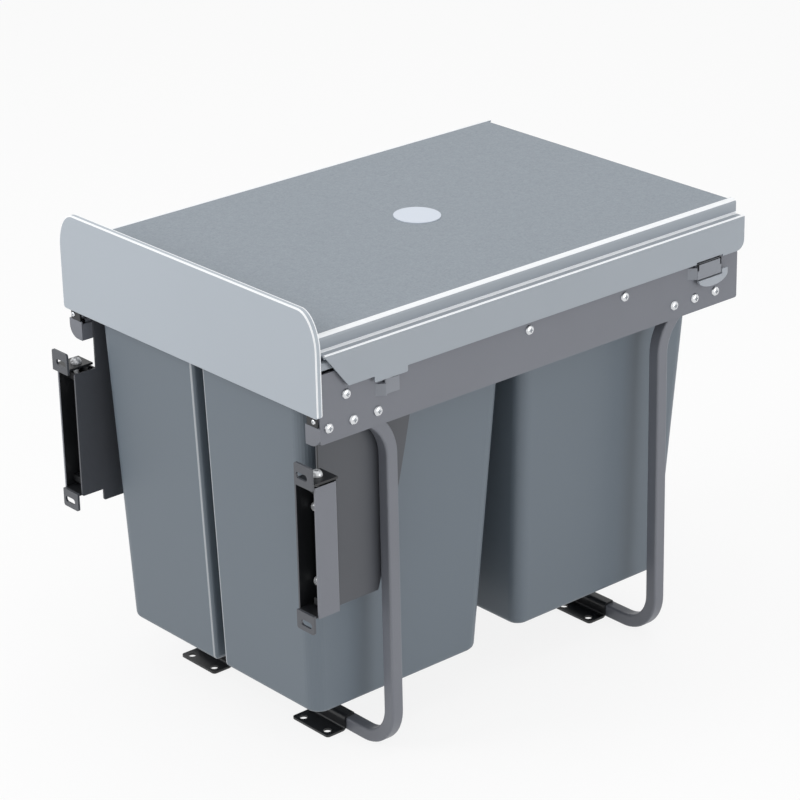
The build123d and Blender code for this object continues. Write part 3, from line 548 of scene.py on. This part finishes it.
# %% [markdown]
# ## From a bmesh to a piece
# A new piece grows in a bmesh and then becomes an object that rides on a body. The left
# pieces are the right ones, mirrored. A mirror turns a shape inside out, so its normals
# are worked out afresh once its doubles are merged.

# %% Pieces
weld_reach = 0.000005


def add_piece(name, shape, finish, body, slot, *replaced):
    """Makes an object of a bmesh, on a body, in place of solids."""
    bmesh.ops.remove_doubles(shape, verts=shape.verts, dist=weld_reach)
    bmesh.ops.recalc_face_normals(shape, faces=shape.faces)
    mesh = bpy.data.meshes.new(name)
    shape.to_mesh(mesh)
    shape.free()
    mesh.materials.append(finish)
    piece = bpy.data.objects.new(name, mesh)
    bpy.context.scene.collection.objects.link(piece)
    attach(piece, body)
    if replaced:
        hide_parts(*replaced)
    return piece


def to_side(shape, side):
    """Turns a right-hand shape into a left-hand one where needed."""
    bmesh.ops.scale(shape, vec=(sides[side], 1, 1), verts=shape.verts)


print("pieces can be placed")

# %% [markdown]
# ## Blocks and folded sheet
# The small pieces are moulded blocks and folded sheet. A block is a cube, stretched and
# bevelled. A sheet could be a thin block too, but its corners are round seen from the
# front alone, so it starts as a flat face with rounded corners that is pushed out.

# %% Blocks and sheets
block_edge = 0.0003
corner_steps = 8
slot_round_share = 0.499


def soften(shape, edges, width, steps=3):
    """Rounds edges."""
    bmesh.ops.bevel(shape, geom=list(edges), offset=width, segments=steps, profile=0.5,
                    affect="EDGES", material=-1)


def brick(shape, low, high, edge=block_edge):
    """A block between two corners with softened edges."""
    low, high = Vector(low), Vector(high)
    made = bmesh.ops.create_cube(shape, size=1.0)["verts"]
    bmesh.ops.scale(shape, vec=high - low, verts=made)
    bmesh.ops.translate(shape, vec=(low + high) / 2, verts=made)
    soften(shape, {link for vert in made for link in vert.link_edges}, edge, steps=2)


def round_face(shape, corners, rounds=(0, 0, 0, 0)):
    """A flat face whose corners are rounded, each by its own radius."""
    before = set(shape.faces)
    verts = [shape.verts.new(corner) for corner in corners]
    shape.faces.new(verts)
    for vert, radius in zip(verts, rounds):
        if radius:
            bmesh.ops.bevel(shape, geom=[vert], offset=radius, segments=corner_steps,
                            profile=0.5, affect="VERTICES", material=-1)
    return [face for face in shape.faces if face not in before]


def push(shape, faces, shift):
    """Gives faces a thickness."""
    grown = bmesh.ops.extrude_face_region(shape, geom=faces)["geom"]
    verts = [part for part in grown if isinstance(part, bmesh.types.BMVert)]
    bmesh.ops.translate(shape, vec=shift, verts=verts)


def upright_face(shape, xs, y, zs, rounds):
    """A flat face that looks at the door."""
    corners = [(xs[0], y, zs[0]), (xs[1], y, zs[0]), (xs[1], y, zs[1]), (xs[0], y, zs[1])]
    return round_face(shape, corners, rounds)


def upright_sheet(shape, low, high, rounds, slot=None):
    """A sheet that faces the door, with rounded corners and perhaps a slot."""
    faces = upright_face(shape, (low[0], high[0]), low[1], (low[2], high[2]), rounds)
    if slot:
        middle_x, middle_z, length, height = slot
        hole = upright_face(shape, (middle_x - length / 2, middle_x + length / 2), low[1],
                            (middle_z - height / 2, middle_z + height / 2),
                            [height * slot_round_share] * 4)
        rim = [edge for face in faces + hole for edge in face.edges]
        bmesh.ops.delete(shape, geom=faces + hole, context="FACES_ONLY")
        filled = bmesh.ops.triangle_fill(shape, edges=rim, use_beauty=True)["geom"]
        faces = [part for part in filled if isinstance(part, bmesh.types.BMFace)]
    push(shape, faces, (0, high[1] - low[1], 0))


print("blocks and sheets ready")

# %% [markdown]
# ## Pan head screws
# A pan head is a low dome with a cross recess. Cutting the cross with a boolean can leave
# ragged faces, so the head grows from a ring instead: the ring is pulled up and drawn in
# step by step, its top is filled round a cross of small squares, and the cross is sunk.
# The shank grows downwards from the same ring, with a wave of steps where it is threaded.

# %% Screws
head_sides = 24
dome_shares = ((0.30, 0.985), (0.60, 0.90), (0.85, 0.74), (1.0, 0.52))
cross_share, cross_arm_share, recess_share = 0.42, 0.1, 0.6
thread_root_share, tip_share = 0.86, 0.8


def next_ring(shape, ring, radius, height):
    """Pulls a ring of edges to a new radius and height, and gives the new ring."""
    grown = bmesh.ops.extrude_edge_only(shape, edges=ring)["geom"]
    ring = [part for part in grown if isinstance(part, bmesh.types.BMEdge)]
    verts = list({vert for edge in ring for vert in edge.verts})
    stretch = radius / verts[0].co.to_2d().length
    bmesh.ops.scale(shape, vec=(stretch, stretch, 1), verts=verts)
    bmesh.ops.translate(shape, vec=(0, 0, height - verts[0].co.z), verts=verts)
    return ring


def sunk_cross(shape, rim, radius, height):
    """Fills the top of a head inside its rim, with a cross sunk into it."""
    grid = bmesh.ops.create_grid(shape, x_segments=3, y_segments=3,
                                 size=radius * cross_share)["verts"]
    bmesh.ops.translate(shape, vec=(0, 0, height), verts=grid)
    cells = list({face for vert in grid for face in vert.link_faces})
    middles = [(face, face.calc_center_median()) for face in cells]
    arm = radius * cross_arm_share
    corners = [face for face, middle in middles if min(abs(middle.x), abs(middle.y)) > arm]
    bmesh.ops.delete(shape, geom=corners, context="FACES")
    cross = [face for face in cells if face.is_valid]
    cross_rim = [edge for edge in {link for face in cross for link in face.edges}
                 if edge.is_boundary]
    bmesh.ops.triangle_fill(shape, edges=rim + cross_rim, use_beauty=True)
    push(shape, cross, (0, 0, -height * recess_share))
    bmesh.ops.delete(shape, geom=[face for face in cross if face.is_valid], context="FACES_ONLY")


def shank_rings(shank_radius, shank_length, threads):
    """Depth and radius of each ring of a shank."""
    rings = [(0.0, shank_radius)]
    for i in range(threads):
        depth = shank_length * (i + 0.5) / threads
        rings.append((depth, shank_radius * thread_root_share))
        rings.append((depth + shank_length * 0.5 / threads, shank_radius))
    return rings + [(shank_length, shank_radius * tip_share)]


def pan_head(shape, place, way, radius, height, shank_radius, shank_length, threads=0):
    """A pan head screw whose head points a way, seated at a place."""
    before = set(shape.verts)
    base = bmesh.ops.create_circle(shape, segments=head_sides, radius=radius)["verts"]
    rim = list({edge for vert in base for edge in vert.link_edges})
    for rise, width in dome_shares:
        rim = next_ring(shape, rim, radius * width, rise * height)
    sunk_cross(shape, rim, radius, height)
    ring = [edge for edge in {link for vert in base for link in vert.link_edges}
            if all(vert in base for vert in edge.verts)]
    for depth, width in shank_rings(shank_radius, shank_length, threads):
        ring = next_ring(shape, ring, width, -depth)
    bmesh.ops.contextual_create(shape, geom=ring)
    made = [vert for vert in shape.verts if vert not in before]
    turn = Vector((0, 0, 1)).rotation_difference(Vector(way)).to_matrix()
    bmesh.ops.rotate(shape, cent=(0, 0, 0), matrix=turn, verts=made)
    bmesh.ops.translate(shape, vec=place, verts=made)


print("screws can be turned")

# %% [markdown]
# ## Screws in the rail plates
# Nine screws hold each rail plate. Their places could be typed in, but they are read from
# the solids, so that they stay in their holes: the points on the heads' outermost plane
# fall into one cluster for each screw.

# %% Rail screws
rail_screw = {"radius": 0.0045, "height": 0.0026, "shank_radius": 0.0019,
              "shank_length": 0.0045}
plane_skin = 0.0001


def head_places(name):
    """The middles of the screw heads of a node, found on its outermost plane."""
    low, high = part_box(name)
    reach = max(abs(low.x), abs(high.x)) - plane_skin
    clusters = []
    for vert in frame["nodes"][name].data.vertices:
        if abs(vert.co.x) > reach:
            for cluster in clusters:
                if (cluster[0] - vert.co).length < rail_screw["radius"] * 2:
                    cluster.append(vert.co.copy())
                    break
            else:
                clusters.append([vert.co.copy()])
    return [sum(cluster, Vector()) / len(cluster) for cluster in clusters]


for side, sign in sides.items():
    places = head_places(f"rail_screws_{side}")
    shape = bmesh.new()
    for place in places:
        seat = place - Vector((sign * rail_screw["height"], 0, 0))
        pan_head(shape, seat, (sign, 0, 0), **rail_screw)
    add_piece(f"rail_pan_heads_{side}", shape, zinc, "frame", "zinc", f"rail_screws_{side}")
    print(side, len(places), "screws")

# %% [markdown]
# ## Front bins
# The two front bins stand side by side. Each is a tapering bucket. Its outer corners are
# broad, and the ones where the two bins meet are nearly sharp. A cube is drawn in at the
# foot, its edges are rounded, the top is opened and the rim is pulled out from there. The
# wall comes from a Solidify modifier, which keeps it even round every corner.

# %% Shape of a front bin
bin_low, bin_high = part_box("bin_front_right")
rim_split, rim_front, rim_side, rim_back = 0.0066, 0.005, 0.011, 0.008
taper_front, taper_side, taper_back = 0.0126, 0.0091, 0.0306
broad_corner, split_corner = 0.012, 0.0022
base_round = 0.0026
bin_wall = 0.0022
mouth_low = Vector((bin_low.x + rim_split, bin_low.y + rim_front, bin_low.z))
mouth_high = Vector((bin_high.x - rim_side, bin_high.y - rim_back, bin_high.z - bin_wall))
mouth_middle = (mouth_low + mouth_high) / 2
rim_middle = (bin_low + bin_high) / 2


def pull_out_rim(shape):
    """Draws the open mouth out to a flat rim."""
    mouth = [edge for edge in shape.edges if edge.is_boundary]
    grown = bmesh.ops.extrude_edge_only(shape, edges=mouth)["geom"]
    rim = [part for part in grown if isinstance(part, bmesh.types.BMVert)]
    stretch = [(bin_high[i] - bin_low[i]) / (mouth_high[i] - mouth_low[i]) for i in (0, 1)]
    bmesh.ops.translate(shape, vec=(-mouth_middle.x, -mouth_middle.y, 0), verts=rim)
    bmesh.ops.scale(shape, vec=(stretch[0], stretch[1], 1), verts=rim)
    bmesh.ops.translate(shape, vec=(rim_middle.x, rim_middle.y, 0), verts=rim)


def bucket():
    """One right-hand front bin."""
    shape = bmesh.new()
    verts = bmesh.ops.create_cube(shape, size=1.0)["verts"]
    bmesh.ops.scale(shape, vec=mouth_high - mouth_low, verts=verts)
    bmesh.ops.translate(shape, vec=mouth_middle, verts=verts)
    for vert in verts:
        if vert.co.z < mouth_middle.z:
            vert.co.y += -taper_back if vert.co.y > mouth_middle.y else taper_front
            vert.co.x -= taper_side if vert.co.x > mouth_middle.x else 0.0
    half_depth = mouth_middle.z - mouth_low.z
    upright = [edge for edge in shape.edges
               if abs(edge.verts[0].co.z - edge.verts[1].co.z) > half_depth]
    split = [edge for edge in upright if edge.verts[0].co.x < mouth_middle.x]
    soften(shape, split, split_corner, steps=4)
    soften(shape, [edge for edge in upright if edge.is_valid and edge not in split],
           broad_corner, steps=8)
    top = max(shape.faces, key=lambda face: face.calc_center_median().z)
    bmesh.ops.delete(shape, geom=[top], context="FACES_ONLY")
    base = min(shape.faces, key=lambda face: face.calc_center_median().z)
    soften(shape, base.edges, base_round)
    pull_out_rim(shape)
    return shape


print("mouth", [round(value, 4) for value in mouth_high - mouth_low])

# %% [markdown]
# The nearly sharp edges where the bins meet get two thin painted highlight lines. A mask finds
# them and paints a third of the rims' highlight white into the bin's own colour.

# %% Front bins
rim_inner_share, rim_outer_share = 0.1, 0.9
split_highlight_share = 0.35


def split_edge_highlight(finish):
    """The painted highlight on the upright front edge beside the other bin."""
    near = 1.0 - finish.above(finish.axis("X", True),
                              mouth_low.x + split_corner * rim_outer_share)
    front = 1.0 - finish.above(finish.axis("Y"), mouth_low.y + taper_front + split_corner)
    skin = finish.above(finish.axis("X", True), mouth_low.x + split_corner * rim_inner_share)
    return near * front * skin * split_highlight_share


bucket_plastic = moulded("bucket_plastic", bin_grey, roughness=0.44, highlight_mask=split_edge_highlight)
for side in sides:
    shape = bucket()
    to_side(shape, side)
    piece = add_piece(f"bucket_front_{side}", shape, bucket_plastic, "carriage", "bin_plastic",
                      f"bin_front_{side}")
    wall = piece.modifiers.new("wall", "SOLIDIFY")
    wall.thickness = bin_wall
    wall.offset = -1.0
    print(piece.name, len(piece.data.polygons), "faces")

# %% [markdown]
# ## Door plates
# A door plate is folded from sheet: a web inside the trough, a flange over it and one
# under it, and on each flange a tab with a slot for the door's own screw. One sheet could
# be bent in a row of steps, but the bends are tight, so flat sheets that meet at their
# edges show the same form.

# %% Door plates
upper_tab_width, upper_tab_height = 0.0220, 0.0193
lower_tab_width, lower_tab_height = 0.0215, 0.0165
trough_gap, lower_flange_gap = 0.0005, 0.0035
web_side_gap, web_back_gap, web_width = 0.00175, 0.0055, 0.0190
slot_length, slot_height = 0.014, 0.0055
slot_x = 0.1632
upper_slot_drop, lower_slot_rise = 0.0104, 0.0071
sharp, blunt = 0.0004, 0.0022

tab_front_y, tab_back_y = plate_low.y, plate_low.y + tab_wall
upper_x = (plate_high.x - upper_tab_width, plate_high.x)
lower_x = (channel_low.x + trough_gap, channel_low.x + trough_gap + lower_tab_width)
upper_flange_z = (channel_high.z + tab_wall, channel_high.z + 2 * tab_wall)
lower_flange_z = (channel_low.z, channel_low.z + tab_wall)
upper_tab_z = (plate_high.z - upper_tab_height, plate_high.z)
lower_tab_z = (lower_flange_z[1] - lower_tab_height, lower_flange_z[1])
web_x = (channel_low.x + web_side_gap, channel_low.x + web_side_gap + web_width)
web_y = (channel_high.y - web_back_gap - tab_wall, channel_high.y - web_back_gap)


def door_bracket():
    """One right-hand door plate."""
    shape = bmesh.new()
    upright_sheet(shape, (upper_x[0], tab_front_y, upper_tab_z[0]),
                  (upper_x[1], tab_back_y, upper_tab_z[1]), [sharp, sharp, blunt, blunt],
                  (slot_x, upper_tab_z[1] - upper_slot_drop, slot_length, slot_height))
    brick(shape, (upper_x[0], tab_back_y, upper_flange_z[0]),
          (upper_x[1], channel_high.y - trough_gap, upper_flange_z[1]))
    brick(shape, (web_x[0], web_y[0], lower_flange_z[1]), (web_x[1], web_y[1], upper_flange_z[0]))
    brick(shape, (lower_x[0], tab_back_y, lower_flange_z[0]),
          (lower_x[1], channel_high.y - lower_flange_gap, lower_flange_z[1]))
    upright_sheet(shape, (lower_x[0], tab_front_y, lower_tab_z[0]),
                  (lower_x[1], tab_back_y, lower_tab_z[1]), [blunt, blunt, sharp, sharp],
                  (slot_x, lower_tab_z[0] + lower_slot_rise, slot_length, slot_height))
    return shape


for side in sides:
    shape = door_bracket()
    to_side(shape, side)
    add_piece(f"door_bracket_{side}", shape, door_coat, f"door_plate_{side}", "grey_paint",
              f"door_plate_{side}")
print("door plates folded, web", [round(value, 4) for value in web_x])

# %% [markdown]
# ## Screws of the door plates
# The height screws have round heads on the flanges and threads that run into the trough.
# The lock screws go through the web towards the trough's back. All could have heads of
# their own, but the pan head is near enough, so only their sizes and places are new.

# %% Screws of the door plates
height_bolt = {"radius": 0.005, "height": 0.0044, "shank_radius": 0.0025,
               "shank_length": 0.0180, "threads": 14}
lock_bolt = {"radius": 0.0042, "height": 0.0034, "shank_radius": 0.002,
             "shank_length": 0.0070}
seat_gap = 0.0001
height_bolt_inset = 0.0115
lock_bolt_inset, lock_bolt_gap = 0.00365, 0.0003
lock_upper_drop, lock_lower_rise = 0.0265, 0.0224
height_bolt_y = channel_low.y + height_bolt_inset
lock_bolt_x, lock_bolt_y = web_x[0] + lock_bolt_inset, web_y[0] - lock_bolt_gap
height_seats = {"upper": (upper_flange_z[1] + seat_gap, 1),
                "lower": (lower_flange_z[0] - seat_gap, -1)}
for side, sign in sides.items():
    for level, (seat_z, way) in height_seats.items():
        shape = bmesh.new()
        pan_head(shape, (sign * slot_x, height_bolt_y, seat_z), (0, 0, way), **height_bolt)
        add_piece(f"height_bolt_{level}_{side}", shape, bright_zinc,
                  f"height_screw_{level}_{side}", "zinc", f"height_screw_{level}_{side}")
    shape = bmesh.new()
    for seat_z in (channel_high.z - lock_upper_drop, channel_low.z + lock_lower_rise):
        pan_head(shape, (sign * lock_bolt_x, lock_bolt_y, seat_z), (0, -1, 0), **lock_bolt)
    add_piece(f"lock_bolts_{side}", shape, bright_zinc, "carriage", "zinc",
              f"lock_screws_{side}")
print("door screws turned")

# %% [markdown]
# ## Panel brackets
# Under each lower corner of the panel sits a folded bracket with one round corner. Its pad
# is a sheet, for the round corner, and its arm is a block, since no one sees its corners.

# %% Panel brackets
bracket_low, bracket_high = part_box("panel_bracket_right")
bracket_wall = 0.0015
pad_height, arm_height = 0.0170, 0.0149
pad_round = 0.011
pad_back_y = bracket_low.y + bracket_wall


def panel_foot():
    """A pad that faces the door and an arm that runs back from it."""
    shape = bmesh.new()
    upright_sheet(shape, bracket_low, (bracket_high.x, pad_back_y, bracket_low.z + pad_height),
                  [sharp, pad_round, sharp, sharp])
    brick(shape, (bracket_low.x, pad_back_y, bracket_low.z),
          (bracket_low.x + bracket_wall, bracket_high.y, bracket_low.z + arm_height))
    return shape


print("bracket pad", pad_height, "m high, arm", arm_height, "m")

# %% [markdown]
# ## Hooks
# A black hook stands on each bracket behind the panel, held by a small screw. Its folds
# are hidden, so two blocks that meet do for it. Bracket, hook and screw are separate
# pieces, because they are different parts with different finishes.

# %% Brackets, hooks and their screws
hook_screw = {"radius": 0.0023, "height": 0.0014, "shank_radius": 0.0012,
              "shank_length": 0.0026}
hook_inset, hook_width, hook_height = 0.0020, 0.0127, 0.0122
tongue_inset, tongue_wall, tongue_rise, tongue_drop = 0.0011, 0.0012, 0.0050, 0.0042
hook_screw_inset, hook_screw_rise = 0.0091, 0.0046
hook_x = (bracket_low.x + hook_inset, bracket_low.x + hook_inset + hook_width)
hook_foot_z = bracket_low.z + pad_height + seat_gap
hook_top_z = hook_foot_z + hook_height


def panel_hook():
    """A block on the pad, and a tongue behind the two."""
    shape = bmesh.new()
    brick(shape, (hook_x[0], bracket_low.y, hook_foot_z), (hook_x[1], pad_back_y, hook_top_z))
    brick(shape, (hook_x[0] + tongue_inset, pad_back_y, bracket_low.z + tongue_rise),
          (hook_x[1] - tongue_inset, pad_back_y + tongue_wall, hook_top_z - tongue_drop))
    return shape


for side, sign in sides.items():
    foot, hook, screw = panel_foot(), panel_hook(), bmesh.new()
    to_side(foot, side)
    to_side(hook, side)
    seat = (sign * (hook_x[0] + hook_screw_inset), bracket_low.y, hook_foot_z + hook_screw_rise)
    pan_head(screw, seat, (0, -1, 0), **hook_screw)
    add_piece(f"panel_foot_{side}", foot, steel_coat, "carriage", "grey_paint",
              f"panel_bracket_{side}")
    add_piece(f"panel_hook_{side}", hook, black_coat, "carriage", "black_paint")
    add_piece(f"hook_screw_{side}", screw, zinc, "carriage", "zinc")
print("panel brackets and hooks ready")

# %% [markdown]
# ## Clips
# The lid rests on moulded clips on the rail plates. Each starts with a ramp that guides
# the lid on, and the rear one ends in a housing. They could be cut from one block, but
# they are plain steps, so blocks that meet show the same form with fewer operations.

# %% Clips
rail_face_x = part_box("rail_plate_right")[1].x
ramp_out, ramp_run, ramp_flat, ramp_rise = 0.0049, 0.0068, 0.0008, 0.0104
front_clip_y, front_clip_z = -0.1720, 0.3312
rear_clip_y, rear_clip_z = 0.1821, 0.3371
# Each step of the front clip: where it starts and ends along Y, how far it stands out and
# how high it is, all from the foot of the ramp.
front_steps = ((ramp_run, 0.0230, 0.0013, ramp_rise),
               (0.0081, 0.0230, 0.0027, 0.0128),
               (0.0091, 0.0140, 0.0028, 0.0137))
housing_length, housing_top_z = 0.0295, 0.3513
housing_out, housing_wall, housing_height = 0.0054, 0.0017, 0.0149
roof_wall, end_wall, end_height = 0.0016, 0.0020, 0.0071


def ramp(shape, start_y, low_z):
    """A wedge on the rail plate that rises towards the back."""
    top_x, top_y = rail_face_x + ramp_out, start_y + ramp_run
    faces = round_face(shape, [(rail_face_x, start_y, low_z), (top_x, top_y, low_z),
                               (top_x, top_y + ramp_flat, low_z),
                               (rail_face_x, top_y + ramp_flat, low_z)])
    push(shape, faces, (0, 0, ramp_rise))


def front_clip():
    """The ramp and its steps."""
    shape = bmesh.new()
    ramp(shape, front_clip_y, front_clip_z)
    for start, end, out, height in front_steps:
        brick(shape, (rail_face_x, front_clip_y + start, front_clip_z),
              (rail_face_x + out, front_clip_y + end, front_clip_z + height))
    return shape


def rear_clip():
    """The ramp and a housing of a face, a roof and two end walls."""
    shape = bmesh.new()
    ramp(shape, rear_clip_y, rear_clip_z)
    out_x, front_y = rail_face_x + housing_out, rear_clip_y + ramp_run
    top_corner = (out_x, front_y + housing_length, housing_top_z)
    brick(shape, (out_x - housing_wall, front_y, housing_top_z - housing_height), top_corner)
    brick(shape, (rail_face_x, front_y, housing_top_z - roof_wall), top_corner)
    for y in (front_y, front_y + housing_length - end_wall):
        brick(shape, (rail_face_x, y, housing_top_z - end_height),
              (out_x, y + end_wall, housing_top_z))
    return shape


print("front clip has a ramp and", len(front_steps), "steps")

# %% [markdown]
# ## Thumb catches
# Below the housing hangs the half round thumb piece of the catch, with a land beside it.
# A disc squashed to an ellipse and cut through its middle gives the half round in three
# steps, where a curve would need its points worked out.

# %% Clips and thumb catches
catch_stand_off, catch_wall = 0.0036, 0.0024
catch_front_y, catch_back_y = 0.1903, 0.2261
catch_top_z, catch_drop = 0.3352, 0.0081
catch_sides = 64
catch_edge, land_edge = 0.0006, 0.0005
land_front_y, land_z = 0.2190, (0.3345, 0.3397)
cut_reach, face_skin = 0.000001, 0.00001
catch_in_x = rail_face_x + catch_stand_off
catch_out_x = catch_in_x + catch_wall


def thumb_catch():
    """Half an ellipse that hangs below the housing, with a land beside it."""
    shape = bmesh.new()
    half_length = (catch_back_y - catch_front_y) / 2
    disc = bmesh.ops.create_circle(shape, cap_ends=True, segments=catch_sides,
                                   radius=half_length)["verts"]
    bmesh.ops.scale(shape, vec=(catch_drop / half_length, 1, 1), verts=disc)
    bmesh.ops.rotate(shape, cent=(0, 0, 0), matrix=Matrix.Rotation(pi / 2, 3, "Y"), verts=disc)
    bmesh.ops.translate(shape, vec=(catch_in_x, catch_front_y + half_length, catch_top_z),
                        verts=disc)
    bmesh.ops.bisect_plane(shape, geom=shape.verts[:] + shape.edges[:] + shape.faces[:],
                           dist=cut_reach, plane_co=(0, 0, catch_top_z), plane_no=(0, 0, 1),
                           clear_outer=True)
    push(shape, shape.faces[:], (catch_wall, 0, 0))
    outer = [edge for edge in shape.edges
             if all(vert.co.x > catch_out_x - face_skin for vert in edge.verts)]
    soften(shape, outer, catch_edge)
    brick(shape, (catch_in_x, land_front_y, land_z[0]), (catch_out_x, catch_back_y, land_z[1]),
          land_edge)
    return shape


for side in sides:
    for name, make, finish, body, slot, solids in (
            ("front_clip", front_clip, clip_plastic, "frame", "clip_plastic",
             [f"lid_clip_front_{side}"]),
            ("rear_clip", rear_clip, clip_plastic, "frame", "clip_plastic",
             [f"lid_clip_rear_{side}", f"catch_pin_{side}"]),
            ("thumb_catch", thumb_catch, catch_plastic, f"lid_catch_{side}", "catch_plastic",
             [f"lid_catch_{side}"])):
        shape = make()
        to_side(shape, side)
        add_piece(f"{name}_{side}", shape, finish, body, slot, *solids)
print("clips and catches moulded, each catch hangs down", catch_drop, "m")

# %% [markdown]
# ## The floor
# A white sheet runs out past the picture, as in a catalogue photograph. Stronger lamps
# would make plain paper white, but they would bleach the unit too. So to the camera and
# in reflections the sheet mostly shines by itself, and keeps a faint soft shadow. To
# everything else it is plain paper, so it throws no extra light on the unit.

# %% Floor
floor_reach = 6.0
floor_gap = 0.0005
paper_white = (0.93, 0.93, 0.93, 1)
glow_share = 0.86

floor_shape = bmesh.new()
bmesh.ops.create_grid(floor_shape, x_segments=1, y_segments=1, size=floor_reach)
bmesh.ops.translate(floor_shape, vec=(0, 0, -floor_gap), verts=floor_shape.verts)
floor_mesh = bpy.data.meshes.new("floor")
floor_shape.to_mesh(floor_mesh)
floor_shape.free()
floor = bpy.data.objects.new("floor", floor_mesh)
bpy.context.scene.collection.objects.link(floor)
paper = Finish("paper", roughness=0.9, base_color=paper_white)
glow = paper.node("ShaderNodeEmission", {}, {"Strength": 1.0})
plain = Amount(paper.shader.outputs["BSDF"])
white = paper.node("ShaderNodeMixShader", {},
                   {0: paper.seen_or_mirrored() * glow_share, 1: plain, 2: glow})
plug(paper.tree, paper.tree.nodes["Material Output"].inputs["Surface"], white)
floor_mesh.materials.append(paper.material)
print("floor laid")
